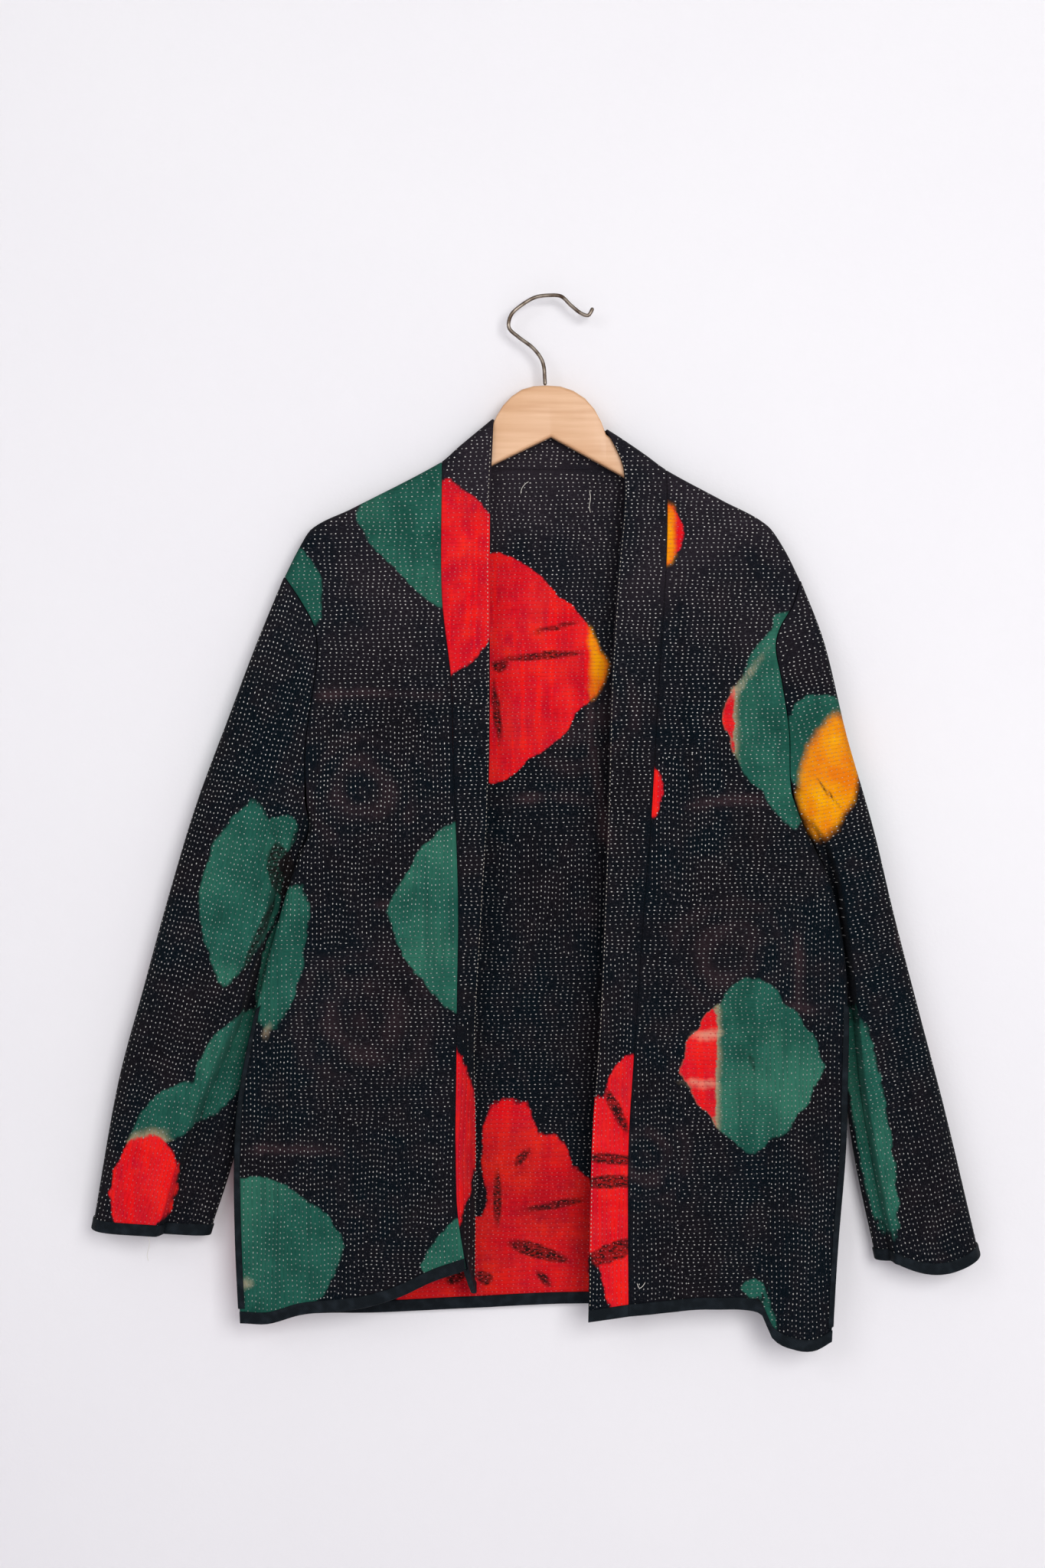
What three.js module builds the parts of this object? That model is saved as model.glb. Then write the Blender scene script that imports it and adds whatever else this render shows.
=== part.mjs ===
// Kantha jacket on a flat wooden hanger.
// Millimetres. +X is the viewer's right, +Y points away from the viewer to the wall, +Z is up.
// The origin is the inner top of the hook, where a rod or a nail carries it.
import * as THREE from 'three';

// Driving sizes
const CLOTH = 2;              // quilted cloth, layers stitched together
const BAND_CLOTH = 2.4;       // neckband, folded double
const BINDING_CLOTH = 1;      // black edge binding
const BINDING_WIDTH = 9;      // how far the binding reaches up from a hem or cuff
const VENT_WIDTH = 4.5;       // how far it reaches in from the edges of the side vents
const SEAM_GAP = 0.4;         // clearance between two pieces at a seam
const ARMHOLE_GAP = 0.6;      // clearance round the armhole seam
const ARMPIT_EASE = 1.6;      // more clearance where the seam turns under the arm
const FOLD_CLEARANCE = 0.4;   // clearance between a binding and the cloth in it
const RIDGE_RADIUS = 7.8;     // cloth rolled over the top of the hanger
const SIDE_RADIUS = 9;        // soft fold at the side seams
const BACK_FORWARD = 16;      // the back's side edges stand this far off the wall
const BOARD_HALF = 5.4;       // half the thickness of the wooden board
const BOARD_EDGE = 3;         // rounding of the board's edges
const BOARD_DROP = 3.6;       // the board's top line lies this far under the cloth's ridge
const WIRE_RADIUS = 1.65;     // hook wire
const ARMPIT_BLEND = 32;      // height over which the armhole closes to the side seam
const NECK_ROLL = 3;          // the back's rows at the neck reach this far below the roll

// Colours and surfaces
const BLACK_CLOTH = { color: 0x1a191e, roughness: 0.95, metalness: 0 };
const BLACK_BINDING = { color: 0x0e1317, roughness: 0.8, metalness: 0 };
const PALE_WOOD = { color: 0xe0b184, roughness: 0.5, metalness: 0 };
const DARK_WIRE = { color: 0x5a4a3c, roughness: 0.35, metalness: 0.9 };

// The ridge of neckband, shoulders and sleeve heads, seen from the front
const RIDGE_LEFT = [
  { x: -227, z: -240 }, { x: -215, z: -216 }, { x: -204, z: -199 }, { x: -170, z: -182 },
  { x: -93, z: -142 }, { x: -78, z: -129 }, { x: -49, z: -105 },
];
const RIDGE_RIGHT = [
  { x: 47, z: -114 }, { x: 61, z: -123 }, { x: 80, z: -136 }, { x: 98, z: -149 },
  { x: 146, z: -175 }, { x: 184, z: -196 }, { x: 199, z: -217 }, { x: 212, z: -243 },
];

// Outer edge of each front: armhole seam down to the armpit, then side seam and vent
const EDGE_LEFT = [
  { z: -240, x: -227 }, { z: -261, x: -213 }, { z: -284, x: -201 }, { z: -311, x: -199 },
  { z: -348, x: -204 }, { z: -390, x: -209 }, { z: -427, x: -208 }, { z: -456, x: -205 },
  { z: -480, x: -215 }, { z: -544, x: -234 }, { z: -596, x: -247 }, { z: -661, x: -261 },
  { z: -713, x: -267 }, { z: -791, x: -267 }, { z: -880, x: -263 },
];
const EDGE_RIGHT = [
  { z: -243, x: 212 }, { z: -264, x: 206 }, { z: -283, x: 195 }, { z: -300, x: 191 },
  { z: -330, x: 196 }, { z: -372, x: 202 }, { z: -424, x: 204 }, { z: -456, x: 216 },
  { z: -499, x: 236 }, { z: -544, x: 246 }, { z: -596, x: 251 }, { z: -677, x: 250 },
  { z: -730, x: 248 }, { z: -812, x: 241 }, { z: -895, x: 236 },
];

// Seam between front and neckband, and the free edge of the neckband with its turn to the back
const SEAM_LEFT = [
  { z: -142, x: -93 }, { z: -256, x: -93 }, { z: -330, x: -85 }, { z: -401, x: -83 },
  { z: -517, x: -79 }, { z: -622, x: -80 }, { z: -765, x: -80 }, { z: -824, x: -72 },
];
const BAND_EDGE_LEFT = [
  { z: -105, x: -49, turn: 0 }, { z: -186, x: -52, turn: 0 }, { z: -417, x: -53, turn: 0 },
  { z: -536, x: -60, turn: 6 }, { z: -632, x: -66, turn: 18 }, { z: -726, x: -65, turn: 26 },
  { z: -850, x: -66, turn: 28 },
];
const SEAM_RIGHT = [
  { z: -149, x: 98 }, { z: -176, x: 99 }, { z: -228, x: 98 }, { z: -336, x: 91 },
  { z: -443, x: 85 }, { z: -531, x: 78 }, { z: -645, x: 70 }, { z: -729, x: 65 },
  { z: -864, x: 65 },
];
const BAND_EDGE_RIGHT = [
  { z: -114, x: 47, turn: 0 }, { z: -151, x: 62, turn: 0 }, { z: -234, x: 57, turn: 0 },
  { z: -330, x: 51, turn: 0 }, { z: -466, x: 47, turn: 0 }, { z: -596, x: 42, turn: 0 },
  { z: -729, x: 34, turn: 0 }, { z: -869, x: 31, turn: 0 },
];

// Hems: the left front is lifted at the neckband, the right one has a lobe that hangs lower
const HEM_LEFT = [
  { x: -263, z: -872 }, { x: -239, z: -872 }, { x: -211, z: -864 }, { x: -162, z: -858 },
  { x: -129, z: -848 }, { x: -100, z: -834 }, { x: -72, z: -824 },
];
const HEM_RIGHT = [
  { x: 65, z: -864 }, { x: 100, z: -861 }, { x: 133, z: -859 }, { x: 177, z: -864 },
  { x: 187, z: -884 }, { x: 205, z: -892 }, { x: 222, z: -893 }, { x: 236, z: -887 },
];
const HEM_BACK = [
  { x: -262, z: -868 }, { x: -160, z: -870 }, { x: -70, z: -866 }, { x: 31, z: -862 },
  { x: 100, z: -867 }, { x: 179, z: -865 }, { x: 232, z: -862 },
];

// How far each panel stands away from the hanger's plane, by its drop below the ridge
const DEPTH_LEFT = [
  { drop: 0, inner: 0, outer: 0 }, { drop: 60, inner: 2, outer: 2 },
  { drop: 200, inner: 6, outer: 7 }, { drop: 400, inner: 13, outer: 10 },
  { drop: 600, inner: 23, outer: 12 }, { drop: 730, inner: 29, outer: 12 },
];
const DEPTH_RIGHT = [
  { drop: 0, inner: 0, outer: 0 }, { drop: 60, inner: 2, outer: 2 },
  { drop: 200, inner: 7, outer: 7 }, { drop: 400, inner: 12, outer: 10 },
  { drop: 600, inner: 18, outer: 13 }, { drop: 740, inner: 22, outer: 14 },
];

// Back of the neck: the seam under the standing band, and the band's top edge
const NECK_SEAM = [
  { x: -93, y: 0, z: -142 }, { x: -91.7, y: 4.2, z: -142.1 }, { x: -90, y: 6.5, z: -143 },
  { x: -86.5, y: 7.8, z: -144.5 }, { x: -60, y: 7.8, z: -145.5 }, { x: -20, y: 7.8, z: -146 },
  { x: 20, y: 7.8, z: -146 }, { x: 60, y: 7.8, z: -147 }, { x: 91, y: 7.8, z: -151.8 },
  { x: 95, y: 6.5, z: -150.4 }, { x: 96.7, y: 4.2, z: -149.3 }, { x: 98, y: 0, z: -149 },
];
const NECK_TOP = [
  { x: -49, z: -105 }, { x: -47.8, z: -105.2 }, { x: -46.5, z: -106.4 }, { x: -43.5, z: -109 },
  { x: -30, z: -109 }, { x: -10, z: -108 }, { x: 10, z: -109.5 }, { x: 28, z: -113 },
  { x: 40.5, z: -118.5 }, { x: 44.3, z: -116 }, { x: 45.8, z: -114.6 }, { x: 47, z: -114 },
];

// Sleeves lie flat. Stations from the seam (t = 0) to the cuff (t = 1) give the upper fold
// (ox, oz), the lower fold (ix, iz), the depth of the front face above and below its crease
// (front, strip), of the lower fold (mid) and of the rear face (back), and how far down the
// front face the crease lies
const SLEEVE_LEFT = [
  { t: 0, ox: -227, oz: -240, ix: -205, iz: -456, front: -17, strip: -17, mid: -4, back: 8, crease: 0.95 },
  { t: 0.12, ox: -250, oz: -296, ix: -216, iz: -474, front: -19, strip: -12, mid: 0, back: 9, crease: 0.9 },
  { t: 0.25, ox: -273, oz: -357, ix: -228, iz: -524, front: -21, strip: -1, mid: 4, back: 10, crease: 0.84 },
  { t: 0.4, ox: -302, oz: -435, ix: -238, iz: -578, front: -22, strip: -1, mid: 5, back: 10, crease: 0.85 },
  { t: 0.55, ox: -326, oz: -515, ix: -249, iz: -622, front: -23, strip: -1, mid: 5, back: 10, crease: 0.84 },
  { t: 0.7, ox: -347, oz: -592, ix: -259, iz: -675, front: -24, strip: -3, mid: 4, back: 10, crease: 0.73 },
  { t: 0.85, ox: -369, oz: -675, ix: -270, iz: -735, front: -24, strip: -6, mid: 3, back: 9, crease: 0.62 },
  { t: 1, ox: -390, oz: -795, ix: -291, iz: -801, front: -22, strip: -8, mid: 1, back: 8, crease: 0.57 },
];
const SLEEVE_RIGHT = [
  { t: 0, ox: 212, oz: -243, ix: 216, iz: -456, front: -17, strip: -17, mid: -4, back: 8, crease: 0.95 },
  { t: 0.12, ox: 232, oz: -296, ix: 231, iz: -476, front: -20, strip: -12, mid: 0, back: 9, crease: 0.86 },
  { t: 0.25, ox: 250, oz: -372, ix: 241, iz: -524, front: -21, strip: -1, mid: 4, back: 10, crease: 0.8 },
  { t: 0.4, ox: 273, oz: -452, ix: 247, iz: -580, front: -22, strip: -1, mid: 5, back: 10, crease: 0.78 },
  { t: 0.55, ox: 292, oz: -531, ix: 249, iz: -632, front: -22, strip: -1, mid: 5, back: 10, crease: 0.76 },
  { t: 0.7, ox: 313, oz: -612, ix: 252, iz: -688, front: -23, strip: -2, mid: 4, back: 10, crease: 0.78 },
  { t: 0.85, ox: 336, oz: -700, ix: 261, iz: -748, front: -23, strip: -6, mid: 3, back: 9, crease: 0.8 },
  { t: 1, ox: 364, oz: -818, ix: 277, iz: -822, front: -22, strip: -9, mid: 1, back: 8, crease: 0.84 },
];
const CUFF_SAG_RIGHT = 11;
const FAR_FROM_EDGE = 300;

// Broad folds: a ridge (height > 0) or a valley along the line from the top to the end
const FOLDS_LEFT = [
  { x: -176, z: -300, endX: -196, endZ: -560, width: 26, height: 3 },
  { x: -120, z: -430, endX: -112, endZ: -800, width: 24, height: 3 },
  { x: -205, z: -560, endX: -232, endZ: -860, width: 18, height: 4 },
];
const FOLDS_RIGHT = [
  { x: 118, z: -200, endX: 150, endZ: -700, width: 17, height: 5 },
  { x: 84, z: -470, endX: 80, endZ: -800, width: 9, height: -4 },
  { x: 180, z: -300, endX: 186, endZ: -620, width: 14, height: 4 },
  { x: 178, z: -690, endX: 176, endZ: -930, width: 10, height: -4 },
  { x: 212, z: -660, endX: 210, endZ: -960, width: 20, height: 9 },
];
const FOLDS_BACK = [
  { x: -120, z: -260, endX: -150, endZ: -820, width: 30, height: 3 },
  { x: 20, z: -330, endX: 12, endZ: -860, width: 28, height: 2 },
  { x: 130, z: -260, endX: 160, endZ: -820, width: 30, height: 3 },
];

// Where the vents open, and how far down the panels' rows lie at the outer edge
const VENT_TOP = -590;
const ROW_HEIGHTS = [-261, -284, -300, -330, -370, -410, -436, -450, -456, -470, -490, -520,
  -556, -590, -606, -650, -710, -770, -830];
const RIDGE_STEPS = 3;
const FRONT_COLUMNS = [0, 0.12, 0.24, 0.36, 0.48, 0.6, 0.7, 0.755, 0.83, 0.91, 1];
const BACK_SIDE_COLUMNS = [0, 0.2, 0.42, 0.64, 0.84];
const EDGE_INSETS = [4.5, 1.3, 0];
const SLEEVE_STATIONS = [0, 0.03, 0.07, 0.12, 0.18, 0.25, 0.33, 0.42, 0.51, 0.6, 0.7, 0.8, 0.9, 0.97, 1];

// Small maths helpers
const lerp = (a, b, t) => a + (b - a) * t;
const clamp01 = (t) => Math.min(1, Math.max(0, t));

function smooth(from, to, value) {
  const t = clamp01((value - from) / (to - from));
  return t * t * (3 - 2 * t);
}

// Smooth curve through a table's rows: column `out` as a function of column `key`
function curve(rows, key, out) {
  const sorted = [...rows].sort((a, b) => a[key] - b[key]);
  const keys = sorted.map((row) => row[key]);
  const values = sorted.map((row) => row[out]);
  const last = keys.length - 1;
  const slopes = values.map((_, i) => {
    const before = Math.max(0, i - 1);
    const after = Math.min(last, i + 1);
    return (values[after] - values[before]) / (keys[after] - keys[before]);
  });
  return (at) => {
    const value = Math.min(keys[last], Math.max(keys[0], at));
    let i = 0;
    while (i < last - 1 && value > keys[i + 1]) i += 1;
    const span = keys[i + 1] - keys[i];
    const t = (value - keys[i]) / span;
    const tt = t * t;
    const ttt = tt * t;
    return (2 * ttt - 3 * tt + 1) * values[i] + (ttt - 2 * tt + t) * span * slopes[i]
      + (3 * tt - 2 * ttt) * values[i + 1] + (ttt - tt) * span * slopes[i + 1];
  };
}

// Total height of the broad folds at a place on a panel
function foldHeight(folds, x, z) {
  let total = 0;
  for (const fold of folds) {
    const t = clamp01((z - fold.z) / (fold.endZ - fold.z));
    const across = (x - lerp(fold.x, fold.endX, t)) / fold.width;
    const ends = smooth(0, 0.2, t) * smooth(1, 0.75, t);
    total += fold.height * Math.exp(-across * across) * ends;
  }
  return total;
}

// Depth of the cloth rolled over the ridge, by its drop below the ridge
function rollDepth(drop) {
  if (drop >= RIDGE_RADIUS) return RIDGE_RADIUS;
  const up = RIDGE_RADIUS - drop;
  return Math.sqrt(RIDGE_RADIUS * RIDGE_RADIUS - up * up);
}

// One half of the jacket: the curves that its pieces share
function makeSide(sign, ridge, edge, seam, bandEdge, hem, depth, folds) {
  const edgeX = curve(edge, 'z', 'x');
  const topZ = edge[0].z;
  const armpitZ = -456;
  const inner = curve(depth, 'drop', 'inner');
  const outer = curve(depth, 'drop', 'outer');
  const sideY = (z) => lerp(-4, -12, smooth(armpitZ, armpitZ - 64, z));
  const joined = (z) => smooth(armpitZ + ARMPIT_BLEND, armpitZ, z) * smooth(VENT_TOP - 16, VENT_TOP, z);
  const frontFlat = (x, z, drop, u) =>
    -SEAM_GAP / 2 - rollDepth(drop) - lerp(inner(drop), outer(drop), u) - foldHeight(folds, x, z);
  const backFlat = (x, z, drop, distance) => {
    const forward = smooth(-440, -520, z) * smooth(80, 8, distance);
    return SEAM_GAP / 2 + rollDepth(drop) + 1.5 * smooth(10, 300, drop)
      - foldHeight(FOLDS_BACK, x, z) * smooth(40, 90, distance) - BACK_FORWARD * forward;
  };
  const frontEdgeY = (z) => {
    const drop = topZ - z;
    const free = frontFlat(edgeX(z), z, drop, 1);
    return lerp(free, sideY(z) - SEAM_GAP / 2, joined(z));
  };
  const backEdgeY = (z) => {
    const free = backFlat(edgeX(z), z, topZ - z, 0);
    return lerp(free, sideY(z) + SEAM_GAP / 2, joined(z));
  };
  return {
    sign, edgeX, topZ, armpitZ, frontFlat, backFlat, frontEdgeY, backEdgeY,
    ridgeZ: curve(ridge, 'x', 'z'), seamX: curve(seam, 'z', 'x'), seamTop: seam[0],
    bandX: curve(bandEdge, 'z', 'x'), bandTurn: curve(bandEdge, 'z', 'turn'),
    bandTop: bandEdge[0], bandEnd: bandEdge[bandEdge.length - 1], seamEnd: seam[seam.length - 1],
    hemZ: curve(hem, 'x', 'z'), edgeEnd: edge[edge.length - 1],
  };
}

const left = makeSide(
  -1, RIDGE_LEFT, EDGE_LEFT, SEAM_LEFT, BAND_EDGE_LEFT, HEM_LEFT, DEPTH_LEFT, FOLDS_LEFT,
);
const right = makeSide(
  1, RIDGE_RIGHT, EDGE_RIGHT, SEAM_RIGHT, BAND_EDGE_RIGHT, HEM_RIGHT, DEPTH_RIGHT, FOLDS_RIGHT,
);

// Rows of a panel: first the roll over the ridge, then fractions of the way to the hem
function panelRows(side) {
  const start = side.topZ - RIDGE_RADIUS;
  const end = side.hemZ(side.edgeX(side.edgeEnd.z));
  const rows = [];
  for (let i = 0; i < RIDGE_STEPS; i += 1) {
    const angle = (i / RIDGE_STEPS) * (Math.PI / 2);
    rows.push({ roll: RIDGE_RADIUS * (1 - Math.cos(angle)), fall: 0 });
  }
  rows.push({ roll: RIDGE_RADIUS, fall: 0 });
  for (const z of ROW_HEIGHTS) rows.push({ roll: RIDGE_RADIUS, fall: (z - start) / (end - start) });
  rows.push({ roll: RIDGE_RADIUS, fall: 1 });
  return rows;
}

// Height of one row in a column that runs from the ridge height `top` to the hem height `bottom`
function rowHeight(row, top, bottom) {
  return row.fall === 0 ? top - row.roll : lerp(top - RIDGE_RADIUS, bottom, row.fall);
}

// Quarter-ellipse weight that turns a panel's edge round to the side seam
function edgeTurn(distance) {
  if (distance >= SIDE_RADIUS) return 0;
  const inward = 1 - distance / SIDE_RADIUS;
  return 1 - Math.sqrt(1 - inward * inward);
}

// A front panel, from the neckband seam (u = 0) to the armhole and side seam (u = 1)
function frontGrid(side) {
  const columns = FRONT_COLUMNS.map((u) => ({ u, inset: SIDE_RADIUS }));
  for (const inset of EDGE_INSETS) columns.push({ u: 1, inset });
  const acrossAt = (column, from, to) => lerp(from, to - side.sign * column.inset, column.u);
  const hemEdge = side.edgeX(side.edgeEnd.z);
  return panelRows(side).map((row) => {
    const seamZ = rowHeight(row, side.seamTop.z, side.seamEnd.z);
    const edgeZ = rowHeight(row, side.topZ, side.hemZ(hemEdge));
    const fromX = side.seamX(seamZ) + side.sign * SEAM_GAP / 2;
    const toX = side.edgeX(edgeZ);
    return columns.map((column) => {
      const top = side.ridgeZ(acrossAt(column, side.seamTop.x, side.edgeX(side.topZ)));
      const bottom = side.hemZ(acrossAt(column, side.seamEnd.x, hemEdge));
      const atEdge = column.u === 1 && column.inset === 0;
      const z = atEdge ? edgeZ : rowHeight(row, top, bottom);
      const x = acrossAt(column, fromX, toX);
      const drop = top - z;
      const flat = side.frontFlat(x, z, drop, column.u);
      const turn = edgeTurn(Math.abs(toX - x));
      const edgeFlat = side.frontFlat(toX, edgeZ, side.topZ - edgeZ, 1);
      return [x, flat + (side.frontEdgeY(edgeZ) - edgeFlat) * turn, z];
    });
  });
}

// A neckband strip, from its seam to its free edge
function bandGrid(side) {
  return panelRows(side).map((row) => [0, 0.34, 0.67, 1].map((u) => {
    const top = side.ridgeZ(lerp(side.seamTop.x, side.bandTop.x, u));
    const bottom = lerp(side.seamEnd.z, side.bandEnd.z, u);
    const z = rowHeight(row, top, bottom);
    const seamZ = rowHeight(row, side.seamTop.z, side.seamEnd.z);
    const freeZ = rowHeight(row, side.bandTop.z, side.bandEnd.z);
    const fromX = side.seamX(seamZ) - side.sign * SEAM_GAP / 2;
    const x = lerp(fromX, side.bandX(freeZ), u);
    const seamFlat = side.frontFlat(fromX, seamZ, side.seamTop.z - seamZ, 0);
    const rolled = rollDepth(top - z) - rollDepth(side.seamTop.z - seamZ);
    return [x, seamFlat - rolled + side.bandTurn(freeZ) * Math.pow(u, 1.4), z];
  }));
}

// The back, from the left armhole to the right one, with the neck seam between the shoulders
function backGrid() {
  const seamY = curve(NECK_SEAM, 'x', 'y');
  const seamZ = curve(NECK_SEAM, 'x', 'z');
  const hemZ = curve(HEM_BACK, 'x', 'z');
  const tuck = (z) => 3 * smooth(VENT_TOP, VENT_TOP - 40, z);
  const columns = [];
  for (const inset of [...EDGE_INSETS].reverse()) columns.push({ side: left, u: 0, inset });
  for (const u of BACK_SIDE_COLUMNS) columns.push({ side: left, u, inset: SIDE_RADIUS });
  for (const point of NECK_SEAM) columns.push({ neck: point.x });
  for (const u of [...BACK_SIDE_COLUMNS].reverse()) columns.push({ side: right, u, inset: SIDE_RADIUS });
  for (const inset of EDGE_INSETS) columns.push({ side: right, u: 0, inset });
  const neckLeft = NECK_SEAM[0].x;
  const neckRight = NECK_SEAM[NECK_SEAM.length - 1].x;
  const rowsLeft = panelRows(left);
  const rowsRight = panelRows(right);
  return rowsLeft.map((rowLeft, index) => {
    const rowRight = rowsRight[index];
    return columns.map((column) => {
      if (column.neck !== undefined) {
        const x = column.neck;
        const across = (x - neckLeft) / (neckRight - neckLeft);
        const fall = lerp(rowLeft.fall, rowRight.fall, across);
        const isCorner = x === neckLeft || x === neckRight;
        const depth = seamY(x);
        const start = RIDGE_RADIUS - Math.sqrt(Math.max(0, RIDGE_RADIUS ** 2 - depth ** 2));
        const rolled = lerp(start, RIDGE_RADIUS + NECK_ROLL, rowLeft.roll / RIDGE_RADIUS);
        const top = seamZ(x) + start - (isCorner ? 0 : SEAM_GAP);
        const z = fall === 0 ? top - rolled : lerp(top - RIDGE_RADIUS - NECK_ROLL, hemZ(x), fall);
        return [x, left.backFlat(x, z, top - z, FAR_FROM_EDGE), z];
      }
      const side = column.side;
      const row = side === left ? rowLeft : rowRight;
      const neckX = side === left ? neckLeft : neckRight;
      const frontHemZ = side.hemZ(side.edgeX(side.edgeEnd.z));
      // Down to the vent the rows lie as on the front, below it they ease to the back's hem
      const height = (top, bottom) => {
        const even = rowHeight(row, top, frontHemZ);
        return even + (bottom - frontHemZ) * smooth(VENT_TOP, frontHemZ, even);
      };
      const edgeZ = height(side.topZ, hemZ(side.edgeX(side.edgeEnd.z)));
      const toX = side.edgeX(edgeZ) - side.sign * tuck(edgeZ);
      const acrossAt = (edge) => lerp(edge - side.sign * column.inset, neckX, column.u);
      const topX = acrossAt(side.edgeX(side.topZ));
      const bottomX = acrossAt(side.edgeX(side.edgeEnd.z) - side.sign * 3);
      const atEdge = column.inset === 0;
      const z = atEdge ? edgeZ : height(side.ridgeZ(topX), hemZ(bottomX));
      const x = acrossAt(toX);
      const drop = (atEdge ? side.topZ : side.ridgeZ(topX)) - z;
      const distance = Math.abs(toX - x);
      const flat = side.backFlat(x, z, drop, distance);
      const edgeFlat = side.backFlat(toX, edgeZ, side.topZ - edgeZ, 0);
      return [x, flat + (side.backEdgeY(edgeZ) - edgeFlat) * edgeTurn(distance), z];
    });
  });
}

// The part of the neckband that stands up behind the neck
function neckGrid() {
  const top = NECK_TOP;
  return [0, 0.5, 1].map((v) => NECK_SEAM.map((seam, i) => [
    lerp(seam.x, top[i].x, v),
    seam.y + SEAM_GAP / 2,
    lerp(seam.z + SEAM_GAP / 2, top[i].z, v),
  ]));
}

// A sleeve: rings from the armhole seam to the cuff, each from the upper fold down the front
// face to the lower fold and back up the rear face
function sleeveGrid(side, table, cuffSag) {
  const column = (name) => curve(table, 't', name);
  const outX = column('ox');
  const outZ = column('oz');
  const inX = column('ix');
  const inZ = column('iz');
  const front = column('front');
  const back = column('back');
  const mid = column('mid');
  const crease = column('crease');
  const strip = column('strip');
  const heights = panelRows(side)
    .map((row) => rowHeight(row, side.topZ, side.hemZ(side.edgeX(side.edgeEnd.z))))
    .filter((z) => z >= side.armpitZ - 1);
  const spans = heights.map((z) => (side.topZ - z) / (side.topZ - heights[heights.length - 1]));
  const last = spans.length - 1;
  // Samples crowd at the two folds and follow the crease once they have left the seam
  const spread = (index, t) => {
    const even = 0.5 - 0.5 * Math.cos(Math.PI * index / last);
    const at = crease(t);
    const eased = even < 0.6 ? at * even / 0.6 : lerp(at, 1, (even - 0.6) / 0.4);
    return lerp(spans[index], eased, smooth(0, 0.25, t));
  };
  const point = (t, index, isFront) => {
    const a = spread(index, t);
    const seamZ = lerp(side.topZ, side.armpitZ, a);
    const start = 1 - smooth(0, 0.22, t);
    const bow = (side.edgeX(seamZ) - lerp(outX(0), inX(0), a)) * start;
    const ease = ARMPIT_EASE * smooth(side.armpitZ + 46, side.armpitZ + 20, seamZ);
    const x = lerp(outX(t), inX(t), a) + bow + side.sign * (ARMHOLE_GAP + ease);
    const sag = isFront ? -cuffSag * Math.sin(Math.PI * clamp01(a / crease(t))) * Math.pow(t, 8) : 0;
    const z = lerp(outZ(t), inZ(t), a) + sag;
    const round = Math.sqrt(Math.max(0, 1 - Math.pow(Math.abs(2 * a - 1), 6)));
    const centre = lerp(0, mid(t), smooth(0.1, 1, a));
    const behind = smooth(crease(t) - 0.03, crease(t) + 0.05, a);
    const face = isFront ? lerp(front(t), strip(t), behind) : back(t);
    const laid = lerp(centre, face, round);
    const seamY = isFront ? side.frontEdgeY(seamZ) : side.backEdgeY(seamZ);
    const closed = index === 0 ? 0 : index === last ? -4 : seamY;
    return [x, lerp(closed, laid, smooth(0, 0.14, t)), z];
  };
  return SLEEVE_STATIONS.map((t) => {
    const ring = [];
    for (let i = 0; i <= last; i += 1) ring.push(point(t, i, true));
    for (let i = last - 1; i >= 1; i -= 1) ring.push(point(t, i, false));
    return ring;
  });
}

// Unit normals of a grid, from its neighbours in both directions
function gridNormals(grid, isRing = false) {
  const rows = grid.length;
  const columns = grid[0].length;
  const between = (from, to) => new THREE.Vector3(to[0] - from[0], to[1] - from[1], to[2] - from[2]);
  return grid.map((row, j) => row.map((_, i) => {
    const before = isRing ? (i + columns - 1) % columns : Math.max(0, i - 1);
    const after = isRing ? (i + 1) % columns : Math.min(columns - 1, i + 1);
    const across = between(row[before], row[after]);
    const down = between(grid[Math.max(0, j - 1)][i], grid[Math.min(rows - 1, j + 1)][i]);
    return across.cross(down).normalize();
  }));
}

// Normals of a panel whose edges meet another piece face to face: square to the viewer's
// direction along the ridge and along the side seam
function squaredNormals(grid, isSquare) {
  const normals = gridNormals(grid);
  normals.forEach((row, j) => row.forEach((normal, i) => {
    if (isSquare(j, i)) normal.setY(0).normalize();
  }));
  return normals;
}

// Closed geometry from vertices and triangles, its faces turned outwards
function closedGeometry(vertices, triangles) {
  let volume = 0;
  const a = new THREE.Vector3();
  const b = new THREE.Vector3();
  const c = new THREE.Vector3();
  for (const [i, j, k] of triangles) {
    a.fromArray(vertices[i]);
    b.fromArray(vertices[j]);
    c.fromArray(vertices[k]);
    volume += a.dot(b.cross(c)) / 6;
  }
  const turned = volume < 0 ? triangles.map(([i, j, k]) => [i, k, j]) : triangles;
  const geometry = new THREE.BufferGeometry();
  geometry.setAttribute('position', new THREE.Float32BufferAttribute(vertices.flat(), 3));
  geometry.setIndex(turned.flat());
  geometry.computeVertexNormals();
  return geometry;
}

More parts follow.
